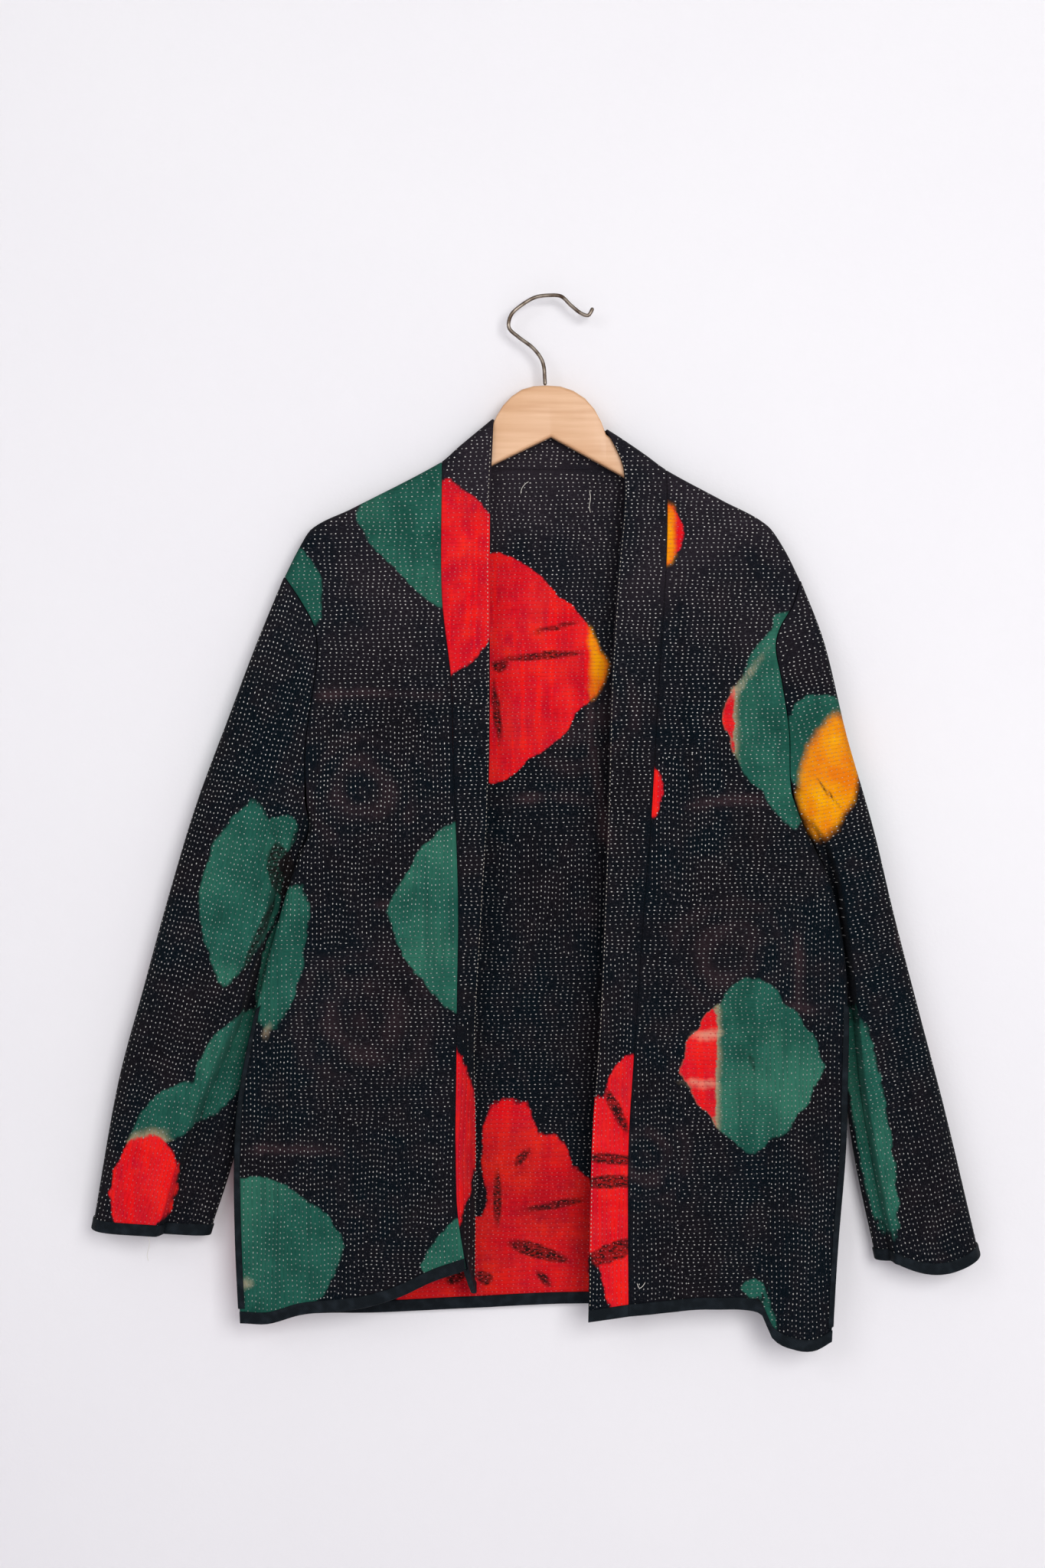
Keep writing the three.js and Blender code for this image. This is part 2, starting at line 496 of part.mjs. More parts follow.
// A cloth wall of even thickness round a grid of centre points
function clothWall(grid, thickness, normals, isRing = false) {
  const rows = grid.length;
  const columns = grid[0].length;
  const vertices = [];
  for (const side of [0.5, -0.5]) {
    grid.forEach((row, j) => row.forEach((p, i) => {
      const n = normals[j][i].clone().multiplyScalar(thickness * side);
      vertices.push([p[0] + n.x, p[1] + n.y, p[2] + n.z]);
    }));
  }
  const half = rows * columns;
  const at = (j, i, back) => back * half + j * columns + (i % columns);
  const triangles = [];
  const quad = (a, b, c, d) => triangles.push([a, b, c], [a, c, d]);
  const spanColumns = isRing ? columns : columns - 1;
  for (let j = 0; j < rows - 1; j += 1) {
    for (let i = 0; i < spanColumns; i += 1) {
      quad(at(j, i, 0), at(j, i + 1, 0), at(j + 1, i + 1, 0), at(j + 1, i, 0));
      quad(at(j, i, 1), at(j + 1, i, 1), at(j + 1, i + 1, 1), at(j, i + 1, 1));
    }
  }
  for (let i = 0; i < spanColumns; i += 1) {
    quad(at(0, i, 1), at(0, i + 1, 1), at(0, i + 1, 0), at(0, i, 0));
    quad(at(rows - 1, i, 0), at(rows - 1, i + 1, 0), at(rows - 1, i + 1, 1), at(rows - 1, i, 1));
  }
  if (!isRing) {
    const end = columns - 1;
    for (let j = 0; j < rows - 1; j += 1) {
      quad(at(j, 0, 0), at(j + 1, 0, 0), at(j + 1, 0, 1), at(j, 0, 1));
      quad(at(j, end, 1), at(j + 1, end, 1), at(j + 1, end, 0), at(j, end, 0));
    }
  }
  return closedGeometry(vertices, triangles);
}

// A folded binding along an edge. Each station is a line of cloth points that starts at the
// edge and runs into the panel, with the cloth's normals there. `reach` lists the distances
// from the edge at which the two arms have points, the farthest first.
function bindingFold(stations, reach, { isRing = false, isMirrored = false, cloth = CLOTH } = {}) {
  const inside = cloth / 2 + FOLD_CLEARANCE;
  const outside = inside + BINDING_CLOTH;
  const below = -FOLD_CLEARANCE - BINDING_CLOTH;
  const inward = [...reach].reverse();
  const outer = [
    ...reach.map((d) => ({ n: outside, d })), { n: outside, d: below },
    { n: -outside, d: below }, ...inward.map((d) => ({ n: -outside, d })),
  ];
  const inner = [
    ...reach.map((d) => ({ n: -inside, d })), { n: -inside, d: -FOLD_CLEARANCE },
    { n: inside, d: -FOLD_CLEARANCE }, ...inward.map((d) => ({ n: inside, d })),
  ];
  const section = [...outer, ...inner];
  const vertices = [];
  for (const station of stations) {
    for (const { n, d } of section) {
      const { point, normal } = walk(station, d);
      vertices.push(point.addScaledVector(normal, n).toArray());
    }
  }
  const sides = section.length;
  const triangles = [];
  const quad = (a, b, c, d) => triangles.push([a, b, c], [a, c, d]);
  const spans = isRing ? stations.length : stations.length - 1;
  for (let j = 0; j < spans; j += 1) {
    const next = (j + 1) % stations.length;
    for (let i = 0; i < sides; i += 1) {
      const k = (i + 1) % sides;
      const towardsEdge = section[k].d < section[i].d;
      const corners = [j * sides + i, j * sides + k, next * sides + k, next * sides + i];
      // The diagonal runs as it does on the cloth wall underneath
      if (towardsEdge !== isMirrored) quad(...corners);
      else quad(corners[1], corners[2], corners[3], corners[0]);
    }
  }
  if (!isRing) {
    for (const [start, isFirst] of [[0, true], [(stations.length - 1) * sides, false]]) {
      for (let i = 0; i < outer.length - 1; i += 1) {
        const corners = [i, i + 1, sides - 2 - i, sides - 1 - i].map((k) => start + k);
        if (isFirst) corners.reverse();
        quad(...corners);
      }
    }
  }
  return closedGeometry(vertices, triangles);
}

// Point and normal at distance d from the edge, along a station's line
function walk(station, d) {
  const points = station.map((s) => new THREE.Vector3(...s.point));
  let i = 0;
  let left = d;
  while (i < points.length - 2 && left > points[i].distanceTo(points[i + 1])) {
    left -= points[i].distanceTo(points[i + 1]);
    i += 1;
  }
  const t = left / points[i].distanceTo(points[i + 1]);
  const point = points[i].clone().lerp(points[i + 1], t);
  const blend = clamp01(t);
  const normal = station[i].normal.clone().lerp(station[i + 1].normal, blend).normalize();
  return { point, normal };
}

// Stations along the bottom edge of a grid
function bottomStations(grid, isRing = false) {
  const normals = gridNormals(grid, isRing);
  const last = grid.length - 1;
  return grid[last].map((_, i) => [0, 1, 2].map((step) => (
    { point: grid[last - step][i], normal: normals[last - step][i] })));
}

// A station between two others
function blendStations(first, second, share) {
  return first.map((s, k) => ({
    point: s.point.map((value, axis) => lerp(value, second[k].point[axis], share)),
    normal: s.normal.clone().lerp(second[k].normal, share).normalize(),
  }));
}

// Stations along the lower end of a front or a neckband, which stop short of the seam between them
function seamedHem(grid, share) {
  const [first, second, ...others] = bottomStations(grid);
  return [blendStations(first, second, share), second, ...others];
}

// Stations along a vent's side edge, from the vent's top to just above the hem binding
function sideStations(grid, atEnd) {
  const normals = gridNormals(grid);
  const columns = grid[0].length;
  const rows = grid.length;
  const edge = atEnd ? columns - 1 : 0;
  const inward = atEnd ? -1 : 1;
  const line = (j) => [0, 1, 2, 3, 4].map((step) => {
    const i = edge + inward * step;
    return { point: grid[j][i], normal: normals[j][i] };
  });
  const stations = [];
  for (let j = 0; j < rows - 1; j += 1) {
    if (grid[j][edge][2] <= VENT_TOP - 15) stations.push(line(j));
  }
  const above = line(rows - 2);
  const hem = line(rows - 1);
  const height = above[0].point[2] - hem[0].point[2];
  stations.push(blendStations(above, hem, 1 - (BINDING_WIDTH + SEAM_GAP + 1) / height));
  return stations;
}

// The hanger: a flat board cut to an arch, shoulders and a notch, with rounded edges
function hangerBoard() {
  const shape = new THREE.Shape();
  const inset = BOARD_EDGE;
  shape.moveTo(0, -120 + inset);
  shape.lineTo(60 - inset, -153 + inset);
  for (const [x, z] of [[98, -177], [150, -206], [172, -216]]) shape.lineTo(x, z + inset);
  shape.quadraticCurveTo(186, -216, 182 - inset, -199 - inset);
  for (const x of [146, 98, 80, 61]) shape.lineTo(x, right.ridgeZ(x) - BOARD_DROP - inset);
  shape.lineTo(47 - inset, -118 - inset);
  shape.bezierCurveTo(38 - inset, -93 - inset, 16, -76 - inset, -4, -76 - inset);
  shape.bezierCurveTo(-24, -76 - inset, -40 + inset, -90 - inset, -49 + inset, -107 - inset);
  for (const x of [-78, -93, -170]) shape.lineTo(x, left.ridgeZ(x) - BOARD_DROP - inset);
  shape.lineTo(-196 + inset, -199 - inset);
  shape.quadraticCurveTo(-202, -213, -184, -213 + inset);
  for (const [x, z] of [[-150, -197], [-93, -168], [-48, -143]]) shape.lineTo(x, z + inset);
  shape.closePath();
  const geometry = new THREE.ExtrudeGeometry(shape, {
    depth: 2 * (BOARD_HALF - BOARD_EDGE), steps: 1, curveSegments: 8,
    bevelEnabled: true, bevelThickness: BOARD_EDGE, bevelSize: BOARD_EDGE, bevelSegments: 2,
  });
  geometry.translate(0, 0, -(BOARD_HALF - BOARD_EDGE));
  geometry.rotateX(Math.PI / 2);
  return geometry;
}

// The hook: one wire bent from the board up round the left to an open tip
function hangerHook() {
  const route = [
    { x: -5, z: -75.5 }, { x: -7, z: -56 }, { x: -15, z: -44 }, { x: -28, z: -34 },
    { x: -36, z: -26 }, { x: -34, z: -15 }, { x: -24, z: -6 }, { x: -13, z: 0 },
    { x: 0, z: 1.65 }, { x: 9, z: 0.5 }, { x: 17, z: -7 }, { x: 26, z: -14 },
    { x: 32, z: -15.5 }, { x: 36, z: -9 },
  ];
  const path = new THREE.CatmullRomCurve3(route.map((p) => new THREE.Vector3(p.x, 0, p.z)));
  const section = new THREE.Shape();
  section.absarc(0, 0, WIRE_RADIUS, 0, 2 * Math.PI);
  return new THREE.ExtrudeGeometry(section, { steps: 36, curveSegments: 8, extrudePath: path });
}

// Assemble the named pieces
const jacket = new THREE.Group();

function addPiece(name, geometry, look) {
  const mesh = new THREE.Mesh(geometry, new THREE.MeshStandardMaterial(look));
  mesh.name = name;
  jacket.add(mesh);
}

const grids = {
  frontLeft: frontGrid(left),
  frontRight: frontGrid(right),
  back: backGrid(),
  bandLeft: bandGrid(left),
  bandRight: bandGrid(right),
  neck: neckGrid(),
  sleeveLeft: sleeveGrid(left, SLEEVE_LEFT, 0),
  sleeveRight: sleeveGrid(right, SLEEVE_RIGHT, CUFF_SAG_RIGHT),
};

// Normals, squared at the ridge and the side seams, and shared along the neckband seams
const isSideSeam = (z) => z <= left.armpitZ + 1 && z > VENT_TOP - 4;
const seamOf = (grid) => (j, i) =>
  j === 0 || (i === grid[0].length - 1 && isSideSeam(grid[j][i][2]));
const backSeams = (j, i) => {
  const columns = grids.back[0].length;
  const x = grids.back[0][i][0];
  const onShoulder = x <= NECK_SEAM[0].x || x >= NECK_SEAM[NECK_SEAM.length - 1].x;
  return (j === 0 && onShoulder) || ((i === 0 || i === columns - 1) && isSideSeam(grids.back[j][i][2]));
};
const normals = {
  frontLeft: squaredNormals(grids.frontLeft, seamOf(grids.frontLeft)),
  frontRight: squaredNormals(grids.frontRight, seamOf(grids.frontRight)),
  back: squaredNormals(grids.back, backSeams),
  bandLeft: squaredNormals(grids.bandLeft, (j) => j === 0),
  bandRight: squaredNormals(grids.bandRight, (j) => j === 0),
  neck: squaredNormals(grids.neck, (j, i) => i === 0 || i === NECK_SEAM.length - 1),
};
normals.bandLeft.forEach((row, j) => { row[0] = normals.frontLeft[j][0].clone().negate(); });
normals.bandRight.forEach((row, j) => { row[0] = normals.frontRight[j][0].clone().negate(); });

// A cloth piece, by the name of its grid
function addCloth(name, key, thickness) {
  addPiece(name, clothWall(grids[key], thickness, normals[key]), BLACK_CLOTH);
}

// A sleeve, by the name of its grid
function addSleeve(name, key) {
  const grid = grids[key];
  addPiece(name, clothWall(grid, CLOTH, gridNormals(grid, true), true), BLACK_CLOTH);
}

const HEM_REACH = [BINDING_WIDTH];
const VENT_REACH = [VENT_WIDTH, 1.3];

addPiece('hanger_board', hangerBoard(), PALE_WOOD);
addPiece('hanger_hook', hangerHook(), DARK_WIRE);
addCloth('front_left', 'frontLeft', CLOTH);
addCloth('front_right', 'frontRight', CLOTH);
addCloth('back', 'back', CLOTH);
addCloth('band_left', 'bandLeft', BAND_CLOTH);
addCloth('band_right', 'bandRight', BAND_CLOTH);
addCloth('band_neck', 'neck', BAND_CLOTH);
addSleeve('sleeve_left', 'sleeveLeft');
addSleeve('sleeve_right', 'sleeveRight');
const FRONT_TRIM = 0.18;
const BAND_TRIM = 0.42;
const bandCloth = { cloth: BAND_CLOTH };
const ring = { isRing: true };
const bindings = [
  ['hem_front_left', bindingFold(seamedHem(grids.frontLeft, FRONT_TRIM), HEM_REACH)],
  ['hem_front_right', bindingFold(seamedHem(grids.frontRight, FRONT_TRIM), HEM_REACH)],
  ['hem_band_left', bindingFold(seamedHem(grids.bandLeft, BAND_TRIM), HEM_REACH, bandCloth)],
  ['hem_band_right', bindingFold(seamedHem(grids.bandRight, BAND_TRIM), HEM_REACH, bandCloth)],
  ['hem_back', bindingFold(bottomStations(grids.back), HEM_REACH)],
  ['vent_front_left', bindingFold(sideStations(grids.frontLeft, true), VENT_REACH)],
  ['vent_front_right', bindingFold(sideStations(grids.frontRight, true), VENT_REACH)],
  ['vent_back_left', bindingFold(sideStations(grids.back, false), VENT_REACH, { isMirrored: true })],
  ['vent_back_right', bindingFold(sideStations(grids.back, true), VENT_REACH)],
  ['cuff_left', bindingFold(bottomStations(grids.sleeveLeft, true), HEM_REACH, ring)],
  ['cuff_right', bindingFold(bottomStations(grids.sleeveRight, true), HEM_REACH, ring)],
];
for (const [name, geometry] of bindings) addPiece(name, geometry, BLACK_BINDING);

export default jacket;
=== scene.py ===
# %% [markdown]
# A kantha jacket on a wooden hanger.
# Kantha is quilting done by hand: two or three layers of worn printed cotton are held together
# by rows of off-white running stitch, a few millimetres apart, all over the cloth. This scene
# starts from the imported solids, which fix every size and place, and dresses them: finer cloth
# with its roll over the hanger and its folds, the dyed print, the stitches, the black binding,
# the wooden board and its wire hook. Everything is in millimetres until it becomes a mesh.

# %% Load the frame
import bpy
import numpy as np
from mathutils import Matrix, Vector


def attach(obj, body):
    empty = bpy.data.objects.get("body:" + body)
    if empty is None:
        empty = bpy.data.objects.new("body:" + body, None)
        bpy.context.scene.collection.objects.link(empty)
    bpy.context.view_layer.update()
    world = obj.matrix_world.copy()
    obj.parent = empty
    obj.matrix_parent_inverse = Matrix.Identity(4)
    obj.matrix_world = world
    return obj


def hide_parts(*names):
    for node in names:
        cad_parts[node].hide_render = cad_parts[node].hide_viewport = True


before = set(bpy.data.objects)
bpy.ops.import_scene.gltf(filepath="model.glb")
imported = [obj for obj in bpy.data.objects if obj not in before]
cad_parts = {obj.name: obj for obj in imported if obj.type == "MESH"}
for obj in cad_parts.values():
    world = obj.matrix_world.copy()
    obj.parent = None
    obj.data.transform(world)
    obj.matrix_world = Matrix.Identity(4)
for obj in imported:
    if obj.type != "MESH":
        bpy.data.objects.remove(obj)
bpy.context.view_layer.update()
MM = 0.001
BODY = "root"
print("solids:", len(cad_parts))

# %% [markdown]
# The jacket's own sizes come first. They are the same as those of the solids: the ridge that the
# cloth makes over neck, shoulders and sleeve heads, the outer edge of each front, the seam of
# the neckband, the hems, and how far each panel stands away from the hanger's plane.

# %% Cloth sizes
CLOTH = 2.0
BAND_CLOTH = 2.4
BINDING_CLOTH = 1.0
BINDING_WIDTH = 9.0
VENT_WIDTH = 4.5
SEAM_GAP = 0.4
STITCHED_GAP = 0.1
ARMHOLE_GAP = 0.6
ARMPIT_EASE = 1.6
FOLD_CLEARANCE = 0.4
RIDGE_RADIUS = 7.8
SIDE_RADIUS = 9.0
ARMPIT_BLEND = 32.0
ARMPIT_Z = -456.0
BACK_FORWARD = 16.0
VENT_TOP = -590.0
VENT_BLEND = 16.0
SIDE_SEAM_TOP_Y = -4
SIDE_SEAM_LOW_Y = -12
SIDE_SEAM_LOW_Z = -520.0
CUFF_SAG_RIGHT = 11.0
FAR_FROM_EDGE = 300.0
print("cloth", CLOTH, "mm, neckband", BAND_CLOTH, "mm, binding", BINDING_WIDTH, "mm wide")


# %% Tables with named columns
def table(columns, *rows):
    """Columns of a short table, by name: 'x z' with rows of two numbers gives arrays x and z."""
    return dict(zip(columns.split(), np.array(rows, dtype=float).T))


RIDGE_LEFT = table("x z", (-227, -240), (-215, -216), (-204, -199), (-170, -182),
                   (-93, -142), (-78, -129), (-49, -105))
RIDGE_RIGHT = table("x z", (47, -114), (61, -123), (80, -136), (98, -149),
                    (146, -175), (184, -196), (199, -217), (212, -243))
EDGE_LEFT = table("z x", (-240, -227), (-261, -213), (-284, -201), (-311, -199),
                  (-348, -204), (-390, -209), (-427, -208), (-456, -205), (-480, -215),
                  (-544, -234), (-596, -247), (-661, -261), (-713, -267), (-791, -267), (-880, -263))
EDGE_RIGHT = table("z x", (-243, 212), (-264, 206), (-283, 195), (-300, 191),
                   (-330, 196), (-372, 202), (-424, 204), (-456, 216), (-499, 236),
                   (-544, 246), (-596, 251), (-677, 250), (-730, 248), (-812, 241), (-895, 236))
SEAM_LEFT = table("z x", (-142, -93), (-256, -93), (-330, -85), (-401, -83),
                  (-517, -79), (-622, -80), (-765, -80), (-824, -72))
SEAM_RIGHT = table("z x", (-149, 98), (-176, 99), (-228, 98), (-336, 91), (-443, 85),
                   (-531, 78), (-645, 70), (-729, 65), (-864, 65))
BAND_EDGE_LEFT = table("z x turn", (-105, -49, 0), (-186, -52, 0), (-417, -53, 0),
                       (-536, -60, 6), (-632, -66, 18), (-726, -65, 26), (-850, -66, 28))
BAND_EDGE_RIGHT = table("z x turn", (-114, 47, 0), (-151, 62, 0), (-234, 57, 0), (-330, 51, 0),
                        (-466, 47, 0), (-596, 42, 0), (-729, 34, 0), (-869, 31, 0))
HEM_LEFT = table("x z", (-263, -872), (-239, -872), (-211, -864), (-162, -858),
                 (-129, -848), (-100, -834), (-72, -824))
HEM_RIGHT = table("x z", (65, -864), (100, -861), (133, -859), (177, -864),
                  (187, -884), (205, -892), (222, -893), (236, -887))
HEM_BACK = table("x z", (-262, -868), (-160, -870), (-70, -866), (31, -862),
                 (100, -867), (179, -865), (232, -862))
DEPTH_LEFT = table("drop inner outer", (0, 0, 0), (60, 2, 2), (200, 6, 7), (400, 13, 10),
                   (600, 23, 12), (730, 29, 12))
DEPTH_RIGHT = table("drop inner outer", (0, 0, 0), (60, 2, 2), (200, 7, 7), (400, 12, 10),
                    (600, 18, 13), (740, 22, 14))
NECK_SEAM = table("x y z", (-93, 0, -142), (-91.7, 4.2, -142.1), (-90, 6.5, -143),
                  (-86.5, 7.8, -144.5), (-60, 7.8, -145.5), (-20, 7.8, -146), (20, 7.8, -146),
                  (60, 7.8, -147), (91, 7.8, -151.8), (95, 6.5, -150.4), (96.7, 4.2, -149.3),
                  (98, 0, -149))
NECK_TOP = table("x z", (-49, -105), (-47.8, -105.2), (-46.5, -106.4), (-43.5, -109),
                 (-30, -109), (-10, -108), (10, -109.5), (28, -113), (40.5, -118.5),
                 (44.3, -116), (45.8, -114.6), (47, -114))
SLEEVE_COLUMNS = "t ox oz ix iz front strip mid back crease"
SLEEVE_LEFT = table(SLEEVE_COLUMNS,
                    (0, -227, -240, -205, -456, -17, -17, -4, 8, 0.95),
                    (0.12, -250, -296, -211, -474, -19, -12, 0, 9, 0.9),
                    (0.25, -273, -357, -226, -524, -21, -1, 4, 10, 0.84),
                    (0.4, -302, -435, -238, -578, -22, -1, 5, 10, 0.85),
                    (0.55, -326, -515, -249, -622, -23, -1, 5, 10, 0.84),
                    (0.7, -347, -592, -259, -675, -24, -3, 4, 10, 0.73),
                    (0.85, -369, -675, -270, -735, -24, -6, 3, 9, 0.62),
                    (1, -390, -795, -291, -801, -22, -8, 1, 8, 0.57))
SLEEVE_RIGHT = table(SLEEVE_COLUMNS,
                     (0, 212, -243, 216, -456, -17, -17, -4, 8, 0.95),
                     (0.12, 232, -296, 226, -476, -20, -12, 0, 9, 0.86),
                     (0.25, 250, -372, 241, -524, -21, -1, 4, 10, 0.8),
                     (0.4, 273, -452, 247, -580, -22, -1, 5, 10, 0.78),
                     (0.55, 292, -531, 249, -632, -22, -1, 5, 10, 0.76),
                     (0.7, 313, -612, 252, -688, -23, -2, 4, 10, 0.78),
                     (0.85, 336, -700, 261, -748, -23, -6, 3, 9, 0.8),
                     (1, 364, -818, 277, -822, -22, -9, 1, 8, 0.84))
print("sections of each sleeve:", len(SLEEVE_LEFT["t"]), "and", len(SLEEVE_RIGHT["t"]))

# %% [markdown]
# Cloth that hangs is never flat. The broad folds are those of the solids; the softer ones are
# placed, uneven in length and depth, where the weight of the quilt pulls: down from the
# shoulders, along the neckband, and slantwise across the sleeves. A fold is a bell-shaped ridge
# (height above zero) or valley (below zero) along a line.

# %% Folds
FOLD_COLUMNS = "x z end_x end_z width height"
FOLDS = {
    "front_left": table(FOLD_COLUMNS,
                        (-176, -300, -196, -560, 26, 3), (-120, -430, -112, -800, 24, 3),
                        (-205, -560, -232, -860, 18, 4), (-190, -215, -204, -330, 7, 2),
                        (-150, -230, -140, -420, 13, -1.8), (-104, -200, -98, -460, 7, 1.8),
                        (-236, -620, -250, -800, 8, -2.6), (-160, -560, -150, -840, 12, -2.4),
                        (-95, -640, -88, -830, 7, 2.2), (-190, -360, -214, -450, 6, -2)),
    "front_right": table(FOLD_COLUMNS,
                         (118, -200, 150, -700, 17, 5), (84, -470, 80, -800, 9, -4),
                         (180, -300, 186, -620, 14, 4), (178, -690, 176, -930, 10, -4),
                         (212, -660, 210, -960, 20, 9), (104, -210, 118, -480, 6, -4),
                         (140, -220, 168, -520, 8, -4), (164, -500, 166, -760, 6, -4.5),
                         (228, -520, 232, -760, 7, -3), (196, -640, 192, -800, 6, 2.4),
                         (120, -640, 112, -850, 12, 2.4), (150, -380, 158, -560, 6, 2)),
    "back": table(FOLD_COLUMNS,
                  (-120, -260, -150, -820, 30, 3), (20, -330, 12, -860, 28, 2),
                  (130, -260, 160, -820, 30, 3), (-30, -240, -40, -700, 11, 1),
                  (70, -300, 84, -760, 12, 1)),
    "sleeve_left": table(FOLD_COLUMNS,
                         (-225, -290, -300, -560, 12, 3), (-262, -420, -330, -700, 9, -2.8),
                         (-246, -470, -290, -560, 7, 3), (-310, -600, -352, -770, 10, 2.2),
                         (-226, -520, -242, -440, 9, -9), (-288, -500, -262, -545, 9, 2.6),
                         (-262, -560, -300, -640, 6, -3.5)),
    "sleeve_right": table(FOLD_COLUMNS,
                          (226, -350, 262, -520, 8, 3), (236, -400, 250, -470, 6, -3.5),
                          (262, -520, 312, -720, 9, 2.4), (280, -560, 300, -700, 6, -2),
                          (300, -640, 345, -790, 9, 2), (222, -300, 240, -420, 7, -2.2)),
}
print("folds:", {name: len(rows["x"]) for name, rows in FOLDS.items()})


# %% [markdown]
# The helpers are few: a smooth curve through a table, an ease between two values, the height of
# the folds at a place, and the roll of the cloth over the hanger. All take whole arrays.

# %% Curve helpers
def lerp(a, b, t):
    """The value t of the way from a to b."""
    return a + (b - a) * t


def smooth(start, end, value):
    """Zero at start, one at end, and 3t^2 - 2t^3 between them."""
    t = np.clip((value - start) / (end - start), 0, 1)
    return t * t * (3 - 2 * t)


def curve(rows, key, out):
    """Cubic through a table's rows: each span joins two values with the slopes of its ends."""
    order = np.argsort(rows[key])
    keys, values = rows[key][order], rows[out][order]
    before = np.maximum(np.arange(len(keys)) - 1, 0)
    after = np.minimum(np.arange(len(keys)) + 1, len(keys) - 1)
    slopes = (values[after] - values[before]) / (keys[after] - keys[before])

    def at(where):
        where = np.clip(np.asarray(where, dtype=float), keys[0], keys[-1])
        i = np.clip(np.searchsorted(keys, where, side="right") - 1, 0, len(keys) - 2)
        span = keys[i + 1] - keys[i]
        t = (where - keys[i]) / span
        return ((2 * t**3 - 3 * t**2 + 1) * values[i] + (t**3 - 2 * t**2 + t) * span * slopes[i]
                + (3 * t**2 - 2 * t**3) * values[i + 1] + (t**3 - t**2) * span * slopes[i + 1])
    return at


def fold_height(name, x, z):
    """Sum of bells across each fold's line, faded at both its ends."""
    total = np.zeros(np.broadcast(x, z).shape)
    folds = FOLDS[name]
    for i in range(len(folds["x"])):
        row = {key: values[i] for key, values in folds.items()}
        t = np.clip((z - row["z"]) / (row["end_z"] - row["z"]), 0, 1)
        across = (x - lerp(row["x"], row["end_x"], t)) / row["width"]
        ends = smooth(0, 0.2, t) * smooth(1, 0.75, t)
        total += row["height"] * np.exp(-across**2) * ends
    return total


def roll_depth(drop):
    """Depth of a quarter circle at a drop below its top, and its radius below that."""
    up = np.clip(RIDGE_RADIUS - drop, 0, RIDGE_RADIUS)
    return np.sqrt(RIDGE_RADIUS**2 - up**2)


def edge_turn(distance):
    """Quarter ellipse from 0 at the fold's radius to 1 at the edge."""
    inward = np.clip(1 - distance / SIDE_RADIUS, 0, 1)
    return 1 - np.sqrt(1 - inward**2)


def unevenness(x, z, seed):
    """Soft unevenness of quilted cloth, about 1 high: waves of several lengths and directions."""
    random = np.random.default_rng(seed)
    total = np.zeros(np.broadcast(x, z).shape)
    for length in (95, 62, 41, 27, 19):
        angle, phase = random.uniform(0, np.pi), random.uniform(0, 2 * np.pi)
        wave = (x * np.cos(angle) + z * np.sin(angle)) * 2 * np.pi / length
        bend = np.sin(x / 53 + z / 71 + phase * 2)
        total += np.sin(wave + phase + 1.3 * bend) * length / 95
    return total / 2


# %% [markdown]
# Each half of the jacket has its own curves, because the jacket hangs unevenly: the left front
# is lifted at the hem, the right one carries a lobe that hangs lower.

# %% The two halves
class Half:
    """The curves that the pieces of one half share; sign is -1 on the viewer's left."""

    def __init__(self, sign, name, ridge, edge, seam, band, hem, depth):
        self.sign, self.name = sign, name
        self.ridge_z = curve(ridge, "x", "z")
        self.edge_x = curve(edge, "z", "x")
        self.seam_x = curve(seam, "z", "x")
        self.band_x = curve(band, "z", "x")
        self.band_turn = curve(band, "z", "turn")
        self.hem_z = curve(hem, "x", "z")
        self.inner = curve(depth, "drop", "inner")
        self.outer = curve(depth, "drop", "outer")
        self.top_z = edge["z"][0]
        self.seam_top = (seam["x"][0], seam["z"][0])
        self.seam_end = (seam["x"][-1], seam["z"][-1])
        self.band_top = (band["x"][0], band["z"][0])
        self.band_end_z = band["z"][-1]
        self.hem_edge_x = float(self.edge_x(edge["z"][-1]))

    def side_y(self, z):
        """Depth of the side seam: it eases forward from the armpit down."""
        lower = smooth(ARMPIT_Z, SIDE_SEAM_LOW_Z, z)
        return lerp(SIDE_SEAM_TOP_Y, SIDE_SEAM_LOW_Y, lower)

    def joined(self, z):
        """One where front and back are sewn at the side, zero in the armhole and the vent."""
        below_armhole = smooth(ARMPIT_Z + ARMPIT_BLEND, ARMPIT_Z, z)
        return below_armhole * smooth(VENT_TOP - VENT_BLEND, VENT_TOP, z)

    def front_flat(self, x, z, drop, u):
        """Depth of the front inside its edges: half a seam gap, the roll over the hanger, the
        panel's own depth (u of the way from its inner to its outer one) and its folds."""
        depth = lerp(self.inner(drop), self.outer(drop), u)
        return -SEAM_GAP / 2 - roll_depth(drop) - depth - fold_height("front_" + self.name, x, z)

    def back_flat(self, x, z, drop, distance):
        """Depth of the back inside its edges: half a seam gap and the roll, up to 1.5 mm more
        lower down, less its folds; within 80 mm of the side seam it comes forward."""
        forward = smooth(-440, SIDE_SEAM_LOW_Z, z) * smooth(80, 8, distance)
        folds = fold_height("back", x, z) * smooth(40, 90, distance)
        return (SEAM_GAP / 2 + roll_depth(drop) + 1.5 * smooth(10, 300, drop) - folds
                - BACK_FORWARD * forward)

    def front_edge_y(self, z):
        """Depth of the front's outer edge: its own where it is free, the seam's where sewn."""
        free = self.front_flat(self.edge_x(z), z, self.top_z - z, 1)
        return lerp(free, self.side_y(z) - SEAM_GAP / 2, self.joined(z))

    def back_edge_y(self, z):
        """The same for the back's outer edge."""
        free = self.back_flat(self.edge_x(z), z, self.top_z - z, 0)
        return lerp(free, self.side_y(z) + SEAM_GAP / 2, self.joined(z))


